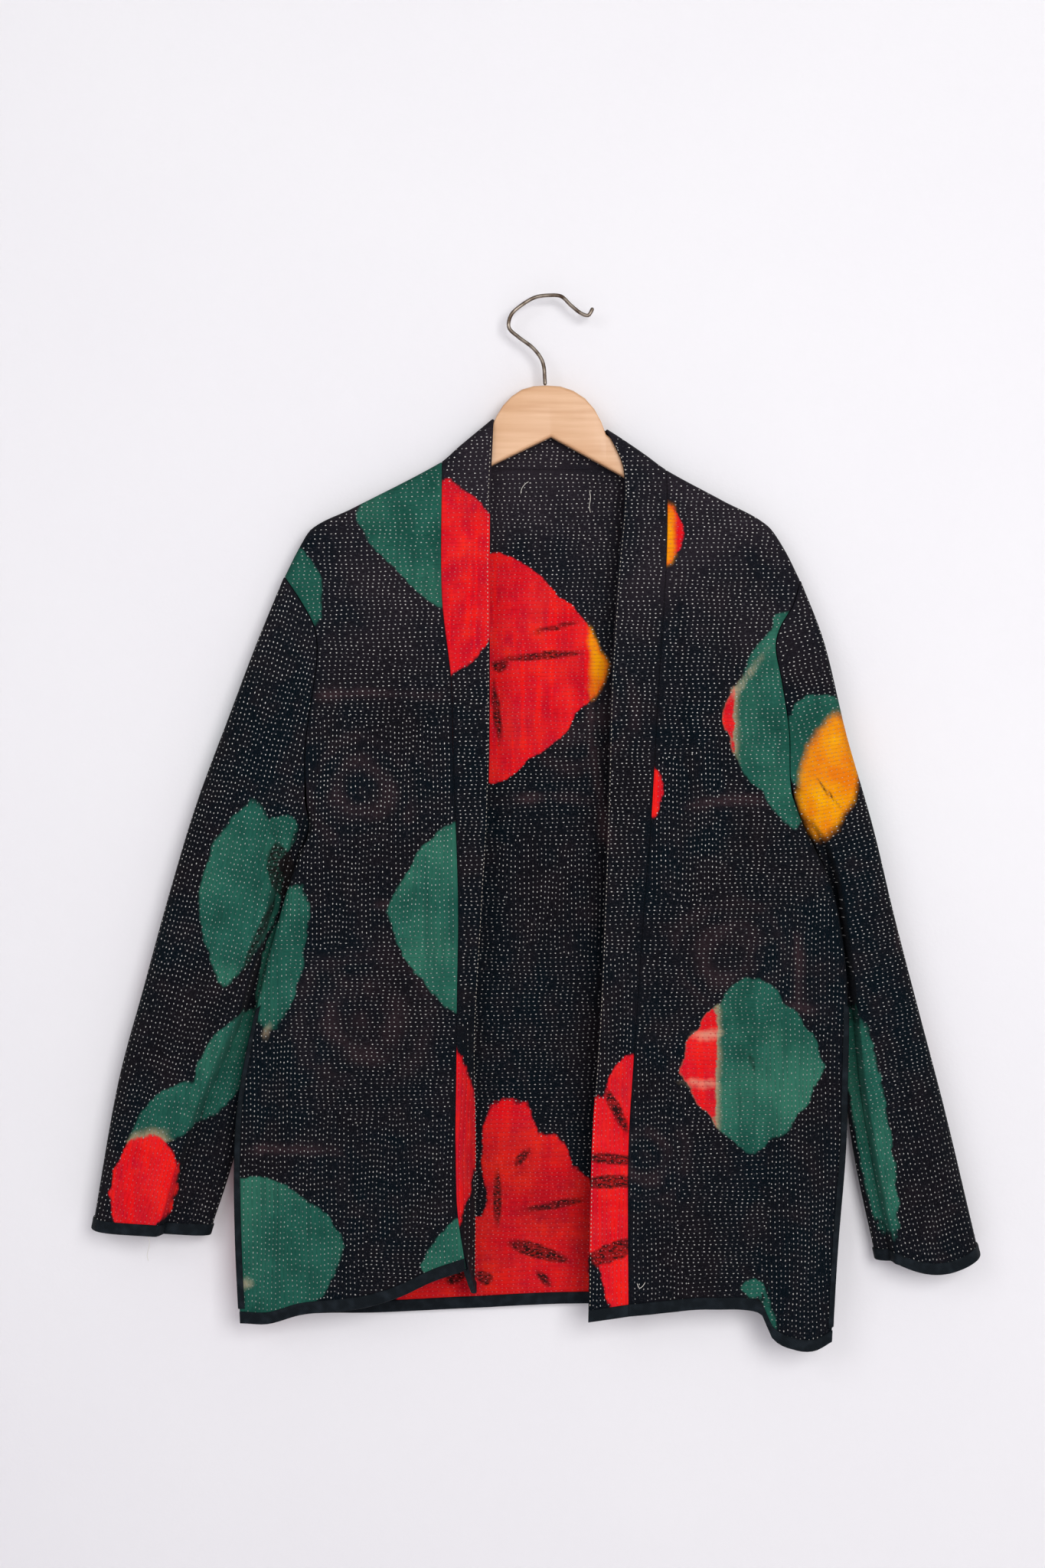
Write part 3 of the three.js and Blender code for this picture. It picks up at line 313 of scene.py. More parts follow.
LEFT = Half(-1, "left", RIDGE_LEFT, EDGE_LEFT, SEAM_LEFT, BAND_EDGE_LEFT, HEM_LEFT, DEPTH_LEFT)
RIGHT = Half(1, "right", RIDGE_RIGHT, EDGE_RIGHT, SEAM_RIGHT, BAND_EDGE_RIGHT, HEM_RIGHT,
             DEPTH_RIGHT)
print("side edges at the hem:", LEFT.hem_edge_x, "and", RIGHT.hem_edge_x)

# %% [markdown]
# A panel is a grid of centre points. Its first rows follow the quarter circle over the hanger,
# and the others fall to the hem in even steps. Columns crowd at the edges, where the cloth turns
# and its two faces close.

# %% Rows and columns of a panel
ROLL_STEPS = 8
FALL_STEPS = 165
angles = np.linspace(0, np.pi / 2, ROLL_STEPS)
falls = np.linspace(0, 1, FALL_STEPS + 1)[1:]
ROLL = np.concatenate([RIDGE_RADIUS * (1 - np.cos(angles)),
                       np.full(FALL_STEPS, RIDGE_RADIUS)])[:, None]
FALL = np.concatenate([np.zeros(ROLL_STEPS), falls])[:, None]
RIM_STEPS = np.array([0, 0.25, 0.7, 1.4, 2.4])


def row_heights(top, bottom):
    """Heights of all rows: down the quarter circle from top, then evenly to bottom."""
    falling = lerp(top - RIDGE_RADIUS, bottom, FALL)
    return np.where(FALL == 0, top - ROLL, falling)


def front_columns(count, width):
    """Shares of the width, crowded at the seam, then insets from the outer edge."""
    shares = np.concatenate([RIM_STEPS / width, np.linspace(4 / width, 1, count)])
    insets = np.array([7.5, 6, 4.5, 3, 1.8, 1, 0.45, 0.15, 0])
    u = np.concatenate([shares, np.ones(len(insets))])
    return u, np.concatenate([np.full(len(shares), SIDE_RADIUS), insets])


# %% Front panels
def front_grid(half):
    """x runs from the neckband seam to the armhole and side seam, z from ridge to hem, and y is
    the roll over the hanger, the panel's depth and its folds, turned round at the side seam."""
    u, inset = front_columns(40, 165)
    across = lambda start, end: lerp(start, end - half.sign * inset, u)
    seam_z = row_heights(half.seam_top[1], half.seam_end[1])
    edge_z = row_heights(half.top_z, half.hem_z(half.hem_edge_x))
    start_x = half.seam_x(seam_z) + half.sign * STITCHED_GAP / 2
    end_x = half.edge_x(edge_z)
    top = half.ridge_z(across(half.seam_top[0], half.edge_x(half.top_z)))
    z = row_heights(top, half.hem_z(across(half.seam_end[0], half.hem_edge_x)))
    x = across(start_x, end_x)
    flat = half.front_flat(x, z, top - z, u)
    edge_flat = half.front_flat(end_x, edge_z, half.top_z - edge_z, 1)
    distance = np.abs(end_x - x)
    inside = smooth(2, 26, distance) * smooth(2, 22, np.abs(x - start_x)) * smooth(8, 40, top - z)
    y = flat + (half.front_edge_y(edge_z) - edge_flat) * edge_turn(distance)
    return np.stack([x, y - 0.9 * unevenness(x, z, 11 + half.sign) * inside, z], axis=-1)


# %% Neckband down a front
def band_grid(half):
    """A strip from the seam to the free edge; lower down it turns towards the back."""
    width = abs(half.band_top[0] - half.seam_top[0])
    rim = RIM_STEPS / width
    u = np.concatenate([rim, np.linspace(4 / width, 1 - 4 / width, 12), 1 - rim[::-1]])
    top = half.ridge_z(lerp(half.seam_top[0], half.band_top[0], u))
    z = row_heights(top, lerp(half.seam_end[1], half.band_end_z, u))
    seam_z = row_heights(half.seam_top[1], half.seam_end[1])
    free_z = row_heights(half.band_top[1], half.band_end_z)
    start_x = half.seam_x(seam_z) - half.sign * STITCHED_GAP / 2
    x = lerp(start_x, half.band_x(free_z), u)
    seam_flat = half.front_flat(start_x, seam_z, half.seam_top[1] - seam_z, 0)
    rolled = roll_depth(top - z) - roll_depth(half.seam_top[1] - seam_z)
    y = seam_flat - rolled + half.band_turn(free_z) * u**1.4
    inside = smooth(0, 0.3, u) * smooth(8, 40, top - z)
    return np.stack([x, y - 0.5 * unevenness(x * 2, z, 23 + half.sign) * inside, z], axis=-1)


# %% Back panel
def back_grid():
    """One panel: shoulder columns roll over the hanger, neck columns start at the neck seam.
    Towards the side seams it leaves the wall and comes forward to meet the fronts."""
    seam_y, seam_z = curve(NECK_SEAM, "x", "y"), curve(NECK_SEAM, "x", "z")
    hem_z = curve(HEM_BACK, "x", "z")
    neck_left, neck_right = NECK_SEAM["x"][0], NECK_SEAM["x"][-1]
    columns = []
    for half, neck_x in ((LEFT, neck_left), (RIGHT, neck_right)):
        u = np.concatenate([np.zeros(9), np.linspace(0, 1, 30)[:-1]])
        inset = np.concatenate([[0, 0.15, 0.45, 1, 1.8, 3, 4.5, 6, 7.5], np.full(29, SIDE_RADIUS)])
        front_hem = half.hem_z(half.hem_edge_x)
        across = lambda edge: lerp(edge - half.sign * inset, neck_x, u)

        def height(top, bottom):
            """Rows as even as the front's, stretched below the vent's top to the back's hem."""
            even = row_heights(top, front_hem)
            return even + (bottom - front_hem) * smooth(VENT_TOP, front_hem, even)
        edge_z = height(half.top_z, hem_z(half.hem_edge_x))
        end_x = half.edge_x(edge_z) - half.sign * 3 * smooth(VENT_TOP, VENT_TOP - 40, edge_z)
        top = half.ridge_z(across(half.edge_x(half.top_z)))
        z = height(top, hem_z(across(half.hem_edge_x - half.sign * 3)))
        x = across(end_x)
        distance = np.abs(end_x - x)
        flat = half.back_flat(x, z, top - z, distance)
        edge_flat = half.back_flat(end_x, edge_z, half.top_z - edge_z, 0)
        y = flat + (half.back_edge_y(edge_z) - edge_flat) * edge_turn(distance)
        columns.append(np.stack([x, y, z], axis=-1))
    left, right = columns[0], columns[1][:, ::-1]
    x = np.concatenate([[neck_left, -92.4, -91.7, -90.8, -90, -88.4, -86.5],
                        np.linspace(-83, 88, 46), [91, 93, 95, 96, 96.7, 97.4, neck_right]])
    corner = (x == neck_left) | (x == neck_right)
    start = RIDGE_RADIUS - np.sqrt(np.maximum(0, RIDGE_RADIUS**2 - seam_y(x) ** 2))
    top = seam_z(x) + start - np.where(corner, 0, SEAM_GAP)
    reach = RIDGE_RADIUS + 3
    rolled = lerp(start, reach, ROLL / RIDGE_RADIUS)
    z = np.where(FALL == 0, top - rolled, lerp(top - reach, hem_z(x), FALL))
    y = LEFT.back_flat(x + 0 * z, z, top - z, FAR_FROM_EDGE)
    grid = np.concatenate([left, np.stack([x + 0 * z, y, z], axis=-1), right], axis=1)
    x, z = grid[..., 0], grid[..., 2]
    end_left, end_right = grid[:, :1, 0], grid[:, -1:, 0]
    inside = smooth(2, 26, x - end_left) * smooth(2, 26, end_right - x) * smooth(-165, -200, z)
    grid[..., 1] -= 0.5 * unevenness(x, z, 5) * inside
    return grid


# %% Neckband behind the neck
def neck_grid():
    """Straight lines from the neck seam up to the band's top edge, curled to the ridge at both
    ends."""
    i = np.linspace(0, len(NECK_SEAM["x"]) - 1, 89)
    seam = {key: np.interp(i, np.arange(len(values)), values) for key, values in NECK_SEAM.items()}
    top = {key: np.interp(i, np.arange(len(values)), values) for key, values in NECK_TOP.items()}
    v = np.concatenate([[0, 0.01, 0.03, 0.06], np.linspace(0.1, 0.9, 10),
                        [0.94, 0.97, 0.99, 1]])[:, None]
    x = lerp(seam["x"], top["x"], v)
    z = lerp(seam["z"] - SEAM_GAP, top["z"], v)
    return np.stack([x, seam["y"] + SEAM_GAP / 2 + 0 * v, z], axis=-1)


# %% Sleeves
SLEEVE_HALF = 64


def sleeve_grid(half, rows, cuff_sag):
    """Rings from armhole to cuff. a runs across the flat sleeve from the upper fold (0) to the
    lower one (1), down the front face and back up the rear one; the front steps back to the
    strip behind the crease, and both faces round off at the folds."""
    name = "sleeve_" + half.name
    get = {key: curve(rows, "t", key) for key in rows if key != "t"}
    t = np.concatenate([[0, 0.0005, 0.0015, 0.003, 0.006], np.linspace(0.012, 1, 120)])[:, None]
    even = 0.5 - 0.5 * np.cos(np.pi * np.linspace(0, 1, SLEEVE_HALF))
    crease = get["crease"](t)
    before, after = crease - 0.05, np.minimum(crease + 0.06, 0.985)
    a = np.where(even < 0.5, even / 0.5 * before, np.where(
        even < 0.8, lerp(before, after, (even - 0.5) / 0.3), lerp(after, 1, (even - 0.8) / 0.2)))
    seam_z = lerp(half.top_z, ARMPIT_Z, a)
    start = 1 - smooth(0, 0.22, t)
    bow = (half.edge_x(seam_z) - lerp(get["ox"](0), get["ix"](0), a)) * start
    ease = ARMPIT_EASE * smooth(ARMPIT_Z + 46, ARMPIT_Z + 20, seam_z)
    x = lerp(get["ox"](t), get["ix"](t), a) + bow + half.sign * (ARMHOLE_GAP + ease)
    z = lerp(get["oz"](t), get["iz"](t), a)
    rounding = np.sqrt(np.maximum(0, 1 - np.abs(2 * a - 1) ** 6))
    centre = lerp(0, get["mid"](t), smooth(0.1, 1, a))
    behind = smooth(crease - 0.015, crease + 0.035, a)
    faces = []
    for is_front in (True, False):
        if is_front:
            face = lerp(get["front"](t), get["strip"](t), behind)
            sag = cuff_sag * np.sin(np.pi * np.clip(a / crease, 0, 1)) * t**8
            seam_y = half.front_edge_y(seam_z)
        else:
            face = get["back"](t) + 0 * a
            sag = 0 * a
            seam_y = half.back_edge_y(seam_z)
        closed = seam_y + 0 * a
        closed[:, 0] = 0
        closed[:, -1] = SIDE_SEAM_TOP_Y
        y = lerp(closed, lerp(centre, face, rounding), smooth(0, 0.14, t))
        towards = -1 if is_front else 1
        inside = rounding**2 * smooth(0.02, 0.1, t) * (1 - 0.7 * behind * is_front)
        relief = fold_height(name, x, z) * is_front + 0.8 * unevenness(x, z, 31 + half.sign)
        faces.append(np.stack([x, y + towards * relief * inside, z - sag], axis=-1))
    front, rear = faces
    return np.concatenate([front, rear[:, -2:0:-1]], axis=1)


# %% [markdown]
# Every cloth piece becomes a closed wall, not a sheet without thickness: the centre grid is
# moved half the cloth's thickness out and in along its normals, and the wall closes round at
# the edges, as two layers of cotton turned in and sewn do. Solidify would give the same wall
# with square edges; working it out here lets the edges round off.

# %% Walls round a grid
def unit(vectors):
    """Each vector over its own length."""
    return vectors / np.maximum(np.linalg.norm(vectors, axis=-1, keepdims=True), 1e-9)


def grid_normals(grid, ring=False):
    """Cross product of the directions along the rows and down the columns."""
    if ring:
        across = np.roll(grid, -1, axis=1) - np.roll(grid, 1, axis=1)
    else:
        across = np.gradient(grid, axis=1)
    return unit(np.cross(across, np.gradient(grid, axis=0)))


def edge_distance(grid, ring=False):
    """Distance from each grid point to the nearest edge, along its row or its column."""
    def both_ways(axis):
        """The shorter way to either end: the running sum of the steps, or what is left of it."""
        steps = np.linalg.norm(np.diff(grid, axis=axis), axis=-1)
        start = np.zeros_like(np.take(steps, [0], axis=axis))
        length = np.concatenate([start, np.cumsum(steps, axis=axis)], axis=axis)
        return np.minimum(length, np.take(length, [-1], axis=axis) - length)
    return both_ways(0) if ring else np.minimum(both_ways(0), both_ways(1))


def wall(grid, thickness, ring=False):
    """Outer grid, inner grid and quads of a closed wall. The half thickness at a distance d from
    an edge is that of a half circle, at least a third of the full one."""
    half = thickness / 2
    reach = np.clip(1 - edge_distance(grid, ring) / half, 0, 1)
    depth = half * np.maximum(np.sqrt(1 - reach**2), 0.33)
    normals = grid_normals(grid, ring)
    outer, inner = grid + normals * depth[..., None], grid - normals * depth[..., None]
    rows, columns = grid.shape[:2]
    index = np.arange(rows * columns).reshape(rows, columns)
    if ring:
        index = np.concatenate([index, index[:, :1]], axis=1)
    other = index + rows * columns
    face = lambda i: np.stack(
        [i[:-1, :-1], i[1:, :-1], i[1:, 1:], i[:-1, 1:]], axis=-1).reshape(-1, 4)
    rim = lambda i, j: np.stack([i[:-1], i[1:], j[1:], j[:-1]], axis=-1)
    quads = [face(index)[:, ::-1], face(other), rim(index[0], other[0])[:, ::-1],
             rim(index[-1], other[-1])]
    if not ring:
        quads += [rim(index[:, 0], other[:, 0]), rim(index[:, -1], other[:, -1])[:, ::-1]]
    return outer, inner, np.concatenate(quads)


# %% Meshes from arrays
def make_object(name, vertices, faces, material, attributes=None):
    """A smooth mesh object from points in millimetres and faces of equal size; attributes are
    numbers or triples for each point, by name."""
    mesh = bpy.data.meshes.new(name)
    vertices = np.asarray(vertices, dtype=np.float32).reshape(-1, 3) * MM
    faces = np.asarray(faces, dtype=np.int32)
    mesh.vertices.add(len(vertices))
    mesh.vertices.foreach_set("co", vertices.ravel())
    mesh.loops.add(faces.size)
    mesh.loops.foreach_set("vertex_index", faces.ravel())
    mesh.polygons.add(len(faces))
    mesh.polygons.foreach_set("loop_start", np.arange(0, faces.size, faces.shape[1], dtype=np.int32))
    mesh.polygons.foreach_set("use_smooth", np.ones(len(faces), dtype=bool))
    mesh.update(calc_edges=True)
    mesh.validate()
    for key, values in (attributes or {}).items():
        values = np.asarray(values, dtype=np.float32)
        kind, field = ("FLOAT", "value") if values.ndim == 1 else ("FLOAT_VECTOR", "vector")
        mesh.attributes.new(key, kind, "POINT").data.foreach_set(field, values.ravel())
    mesh.materials.append(material)
    made = bpy.data.objects.new(name, mesh)
    bpy.context.scene.collection.objects.link(made)
    return made


def triangle_count(made):
    """How many triangles a mesh's faces make."""
    return sum(len(p.vertices) - 2 for p in made.data.polygons)


def section_quads(index):
    """Quads between neighbouring sections; index holds one row of point numbers for each."""
    return np.stack([index[:-1, :-1], index[:-1, 1:], index[1:, 1:], index[1:, :-1]],
                    axis=-1).reshape(-1, 4)


def facing_out(points, quads):
    """The quads, turned round where the volume they close, a sum of triple products, is below
    zero."""
    corners = points[quads]
    volume = np.einsum("ij,ij->i", corners[:, 0], np.cross(corners[:, 1], corners[:, 2])).sum()
    return quads if volume > 0 else quads[:, ::-1]


# %% [markdown]
# The print. Vat-dyed leaves and flowers lie on black cotton, each a soft blot: an oval, or
# something between an oval and a kite, with shallow lobes round it. Only the distance to a
# motif's outline is worked out here, in millimetres, and stored on the mesh; the cloth's material
# turns it into colour and frays the outline. Columns: dye, centre x and z, half width, half
# height, turn in degrees, fullness (2 an oval, 1.3 nearly a kite), lobes, depth of the lobes.
# Two more cut the motif along a vertical line where one dye runs into the next: 1 keeps what is
# right of the line, -1 what is left of it, and then the line's x.

# %% Motifs of the faces that show
# The fifth field holds dark marks: printed ones, and painted shadow on the left sleeve
DYE_NAMES = ("green", "red", "flame", "amber", "ink", "pale")
GREEN, RED, FLAME, AMBER, INK_AND_SHADOW, PALE = range(len(DYE_NAMES))
NO_DYE = -60.0
MOTIFS = {
    "front_left": [
        (GREEN, -92, -187, 76, 80, 0, 1.25, 5, 0.03), (GREEN, -80, -528, 59, 82, 0, 1.35, 7, 0.04),
        (GREEN, -263, -812, 88, 65, 0, 1.8, 7, 0.04), (GREEN, -77, -822, 33, 42, 0, 1.25, 5, 0.03),
        (GREEN, -212, -246, 17, 37, 18, 1.6, 3, 0.02),
        (GREEN, -229, -565, 19, 64, -12, 2.0, 5, 0.05), (PALE, -241, -626, 3, 6, -20, 2, 3, 0.2),
        (PALE, -261, -839, 7, 4, 10, 2, 5, 0.3)],
    "band_left": [
        (RED, -94, -241, 63, 85, 0, 1.6, 5, 0.02), (RED, -85, -710, 25, 82, 2, 1.4, 7, 0.04),
        (FLAME, -72, -236, 16, 26, 0, 2, 3, 0.1), (FLAME, -74, -690, 5, 40, 0, 2, 3, 0.1)],
    "band_right": [
        (RED, 67, -677, 22, 33, 0, 1.4, 3, 0.03), (RED, 52, -752, 30, 73, 0, 2.8, 5, 0.04),
        (RED, 60, -842, 15, 42, 20, 2.2, 3, 0.03), (FLAME, 58, -752, 9, 62, 4, 2, 5, 0.1),
        (FLAME, 44, -778, 7, 30, 0, 2, 5, 0.1), (INK_AND_SHADOW, 55, -692, 5, 22, 26, 2, 3, 0.2),
        (INK_AND_SHADOW, 50, -733, 26, 5, -4, 3, 5, 0.2), (INK_AND_SHADOW, 50, -752, 26, 6, 2, 3, 5, 0.2),
        (INK_AND_SHADOW, 49, -812, 27, 8, 22, 2.4, 5, 0.2)],
    "front_right": [
        (RED, 98, -203, 16, 27, 0, 1.5, 9, 0.1), (AMBER, 98, -203, 15, 26, 0, 1.5, 9, 0.1, -1, 105),
        (RED, 85, -423, 11, 21, 0, 1.4, 5, 0.05), (FLAME, 84, -432, 7, 9, 0, 2, 3, 0.1),
        (GREEN, 207, -362, 62, 91, 0, 1.35, 7, 0.04), (GREEN, 200, -281, 12, 13, -35, 1.4, 3, 0.02),
        (RED, 207, -362, 62, 91, 0, 1.35, 7, 0.04, -1, 155), (PALE, 164, -328, 3, 20, -38, 2, 5, 0.4),
        (GREEN, 170, -654, 63, 77, 0, 1.32, 13, 0.06),
        (RED, 170, -654, 63, 77, 0, 1.32, 13, 0.06, -1, 139),
        (INK_AND_SHADOW, 170, -652, 2.5, 8, 10, 2, 3, 0.3),
        (PALE, 131, -629, 11, 4, 4, 2, 3, 0.3), (PALE, 128, -670, 13, 4, -3, 2, 3, 0.3),
        (GREEN, 171, -843, 13, 9, 0, 1.2, 3, 0.05), (GREEN, 184, -868, 5, 20, 8, 1.5, 3, 0.1)],
    "sleeve_left": [
        (GREEN, -264, -508, 34, 80, -9, 1.5, 7, 0.05), (GREEN, -235, -462, 18, 24, -40, 1.6, 3, 0.1),
        # The next two dark marks are painted shadow: of the hollow below the armpit, and of the crease
        (INK_AND_SHADOW, -230, -490, 11, 26, 8, 1.8, 3, 0.1), (INK_AND_SHADOW, -250, -550, 3, 36, -22, 2, 3, 0.1),
        (GREEN, -228, -560, 17, 70, -20, 1.5, 5, 0.05), (GREEN, -277, -655, 21, 51, -25, 1.6, 5, 0.05),
        (GREEN, -322, -696, 44, 20, 38, 1.6, 5, 0.05), (RED, -345, -756, 27, 44, -14, 2.2, 9, 0.07),
        (FLAME, -350, -745, 12, 2, 18, 2, 5, 0.2)],
    "sleeve_right": [
        (GREEN, 226, -382, 29, 42, -8, 2.4, 5, 0.04), (AMBER, 236, -409, 25, 53, -12, 1.8, 7, 0.04),
        (GREEN, 272, -706, 13, 95, 9, 2.6, 5, 0.05), (INK_AND_SHADOW, 234, -424, 1.6, 16, 40, 2, 3, 0.2)],
    "back_inside": [
        (RED, -48, -315, 99, 101, 0, 1.32, 9, 0.05),
        (AMBER, -48, -315, 99, 101, 0, 1.32, 9, 0.05, 1, 34),
        (FLAME, -32, -300, 10, 96, 0, 2, 5, 0.1), (FLAME, -12, -326, 46, 9, 3, 2, 5, 0.1),
        (FLAME, 2, -366, 12, 18, 0, 2, 3, 0.1), (INK_AND_SHADOW, -4, -306, 40, 4, 5, 2, 5, 0.3),
        (INK_AND_SHADOW, -44, -316, 8, 5, 0, 2, 3, 0.3), (INK_AND_SHADOW, -47, -352, 4, 30, 6, 2, 3, 0.3),
        (INK_AND_SHADOW, 4, -282, 22, 3, 14, 2, 3, 0.3),
        (RED, -35, -738, 24, 50, 0, 2.8, 3, 0.03), (RED, -3, -753, 21, 35, 0, 2.3, 3, 0.03),
        (RED, 17, -778, 18, 33, 0, 2.4, 3, 0.03), (RED, -12, -811, 46, 67, 0, 3, 3, 0.03),
        (RED, -50, -850, 84, 62, 0, 3, 5, 0.03), (FLAME, -34, -740, 9, 50, 0, 2, 5, 0.1),
        (FLAME, 12, -812, 6, 50, 0, 2, 5, 0.1), (INK_AND_SHADOW, -46, -771, 4, 26, 0, 2, 3, 0.2),
        (INK_AND_SHADOW, -25, -738, 4, 11, -40, 2, 3, 0.2), (INK_AND_SHADOW, 4, -778, 31, 4, 11, 2, 5, 0.25),
        (INK_AND_SHADOW, -13, -818, 31, 7, -17, 1.7, 5, 0.2), (INK_AND_SHADOW, -58, -841, 9, 6, -20, 2, 3, 0.2),
        (INK_AND_SHADOW, -6, -842, 10, 4, -45, 2, 3, 0.2), (INK_AND_SHADOW, -80, -838, 14, 7, 35, 2, 3, 0.2),
        (INK_AND_SHADOW, -108, -812, 20, 4, 8, 2, 5, 0.25)],
}
# The hidden sides carry the same leaves and flowers in other places
MOTIFS["back_outside"] = [
    (GREEN, -120, -300, 62, 90, 12, 1.4, 7, 0.04), (RED, 60, -380, 98, 96, 20, 1.35, 9, 0.05),
    (AMBER, 146, -350, 12, 24, 20, 1.6, 3, 0.1), (GREEN, 150, -620, 60, 84, -10, 1.5, 7, 0.04),
    (RED, -110, -620, 92, 98, -30, 1.5, 9, 0.05), (FLAME, -100, -620, 10, 80, 6, 2, 5, 0.1),
    (FLAME, 66, -380, 80, 9, 4, 2, 5, 0.1), (GREEN, 20, -800, 80, 58, 8, 1.8, 6, 0.04),
    (RED, -238, -800, 50, 60, 0, 1.6, 9, 0.05), (AMBER, -158, -548, 16, 10, 30, 2, 3, 0.1),
    (INK_AND_SHADOW, -80, -600, 26, 3, 20, 2, 5, 0.5), (INK_AND_SHADOW, -84, -640, 26, 3, -16, 2, 5, 0.5),
    (INK_AND_SHADOW, 90, -350, 26, 3, 34, 2, 5, 0.5), (INK_AND_SHADOW, 96, -390, 26, 3, -8, 2, 5, 0.5)]
MOTIFS["front_inside"] = [
    (GREEN, -150, -420, 60, 84, 10, 1.4, 7, 0.04), (RED, -130, -760, 80, 76, 0, 1.5, 9, 0.05),
    (RED, 140, -420, 70, 80, 0, 1.4, 9, 0.05), (GREEN, 150, -760, 70, 60, 8, 1.5, 7, 0.04)]
MOTIFS["sleeve_left_rear"] = [
    (GREEN, -262, -380, 34, 70, -14, 1.5, 7, 0.05), (RED, -300, -600, 40, 62, -14, 1.5, 9, 0.05)]
MOTIFS["sleeve_right_rear"] = [
    (GREEN, 258, -420, 34, 66, 12, 1.5, 9, 0.05), (RED, 290, -650, 24, 60, 14, 1.5, 7, 0.05)]
print("motifs:", sum(len(rows) for rows in MOTIFS.values()))


# %% Distance to a motif's outline
def motif_distance(x, z, row):
    """Millimetres inside a motif's outline. The radius is the k-th root of the sum of the k-th
    powers of both distances from the centre, as shares of the half sizes, k being the fullness;
    the limit dips between the lobes by the depth times 1 - |sin(lobes * angle / 2)|."""
    _, cx, cz, half_x, half_z, turn, fullness, lobes, depth, *cut = row
    c, s = np.cos(np.radians(turn)), np.sin(np.radians(turn))
    p = np.abs((x - cx) * c + (z - cz) * s) / half_x
    q = np.abs((z - cz) * c - (x - cx) * s) / half_z
    angle = np.arctan2(x - cx, z - cz)
    limit = 1 - depth * (1 - np.abs(np.sin(lobes * angle / 2)))
    radius = (p**fullness + q**fullness) ** (1 / fullness)
    distance = (limit - radius) * min(half_x, half_z)
    return np.minimum(distance, cut[0] * (x - cut[1])) if cut else distance


def dye_fields(face, x, z):
    """For each dye, the largest distance inside any of its motifs, or NO_DYE where none is near."""
    fields = np.full((len(DYE_NAMES),) + x.shape, NO_DYE)
    for row in MOTIFS.get(face, []):
        fields[row[0]] = np.maximum(fields[row[0]], motif_distance(x, z, row))
    return fields


# %% [markdown]
# An older print shows through the black: rust-brown rings and short bars, hardly lighter than
# the ground. They are the ghost of the cloth's former life, and each is a bell across a circle
# or across a line between two points.

# %% Ghost of the older print
GHOST_RINGS = [(-162, -423, 52), (-159, -616, 68), (20, -350, 60), (150, -560, 52), (80, -730, 44)]
GHOST_BARS = [(-200, -342, -92, -340), (-257, -727, -175, -727), (209, -545, 207, -614),
              (143, -607, 226, -607), (-30, -430, 40, -432), (28, -270, 45, -470),
              (112, -436, 182, -430), (-150, -520, -95, -524), (300, -470, 296, -560)]


def ghost(x, z):
    """Bells across rings half the radius apart and across bars, which waver and fade at the
    ends."""
    total = np.zeros_like(x)
    for cx, cz, radius in GHOST_RINGS:
        r = np.hypot(x - cx, z - cz) + 3 * np.sin(x / 13 + z / 19)
        rings = 0.5 + 0.5 * np.cos(r * 2 * np.pi / (radius / 2) + 1)
        total = np.maximum(total, 0.5 * rings * smooth(radius, radius * 0.7, r))
    for x0, z0, x1, z1 in GHOST_BARS:
        length = np.hypot(x1 - x0, z1 - z0)
        along = ((x - x0) * (x1 - x0) + (z - z0) * (z1 - z0)) / length
        across = ((x - x0) * (z1 - z0) - (z - z0) * (x1 - x0)) / length + 2 * np.sin(along / 23)
        ends = smooth(-6, 10, along) * smooth(length + 6, length - 10, along)
        bar = np.exp(-((across / 4) ** 2)) * (0.75 + 0.25 * np.sin(along / 17 + x0))
        total = np.maximum(total, bar * ends)
    return total


# %% [markdown]
# The quilting. Each panel was stitched in patches, and from patch to patch the rows change
# direction: some run across and some run down. A patch is a box on the panel where they run
# down, with a wavy border. The same rows give two things: where the stitches lie, and the
# phase of the low ridges that puff up between them.

# %% Directions of the rows
ROW_SPACING = 3.4
STITCH_PITCH = 4.6
STITCH_LENGTH = 2.4
STITCH_HALF_WIDTH = 0.58
STITCH_SINK = 0.2
STITCH_RISE = 0.5
DROPPED_STITCHES = 0.08
# Direction of the rows across and down, in degrees, and the boxes (x, x, z, z) with rows down
ROWS = {
    "front_left": (0, 90, [(-300, 0, -549, -363), (-300, -219, -900, -549), (-300, 0, -796, -697),
                           (-300, -162, -900, -790), (-105, 0, -900, -790)]),
    "front_right": (0, 90, [(45, 146, -512, -387), (182, 260, -900, -520), (60, 110, -900, -640)]),
    "band_left": (0, 90, [(-100, 0, -900, -620)]),
    "band_right": (0, 90, [(0, 100, -900, -560)]),
    "back_outside": (0, 90, [(-260, -60, -560, -330), (60, 260, -860, -620)]),
    "back_inside": (0, 90, [(-46, 60, -560, -470)]),
    "band_neck": (0, 90, []),
    "sleeve_left": (-15, 74.5, [(-500, 0, -900, -250)]),
    "sleeve_right": (12.5, 102.5, [(0, 500, -900, -690)]),
}
ROWS["sleeve_left_rear"], ROWS["sleeve_right_rear"] = ROWS["sleeve_left"], ROWS["sleeve_right"]
ROWS["front_inside"] = ROWS["front_left"]


def row_wobble(p, q):
    """How far a hand-sewn row strays from its straight line."""
    return 0.9 * np.sin(p / 23 + q / 9) + 0.7 * np.sin(p / 61 - q / 17) + 1.6 * np.sin(p / 140 + 1)


def runs_down(face, x, z):
    """One where the rows run down, zero where they run across."""
    wave = 5 * np.sin(x / 17 + z / 29) + 4 * np.sin(x / 9 - z / 13)
    down = np.zeros_like(x)
    for x0, x1, z0, z1 in ROWS[face][2]:
        inside = np.minimum(np.minimum(x - x0, x1 - x), np.minimum(z - z0, z1 - z)) + wave
        down = np.maximum(down, smooth(-2, 2, inside))
    return down


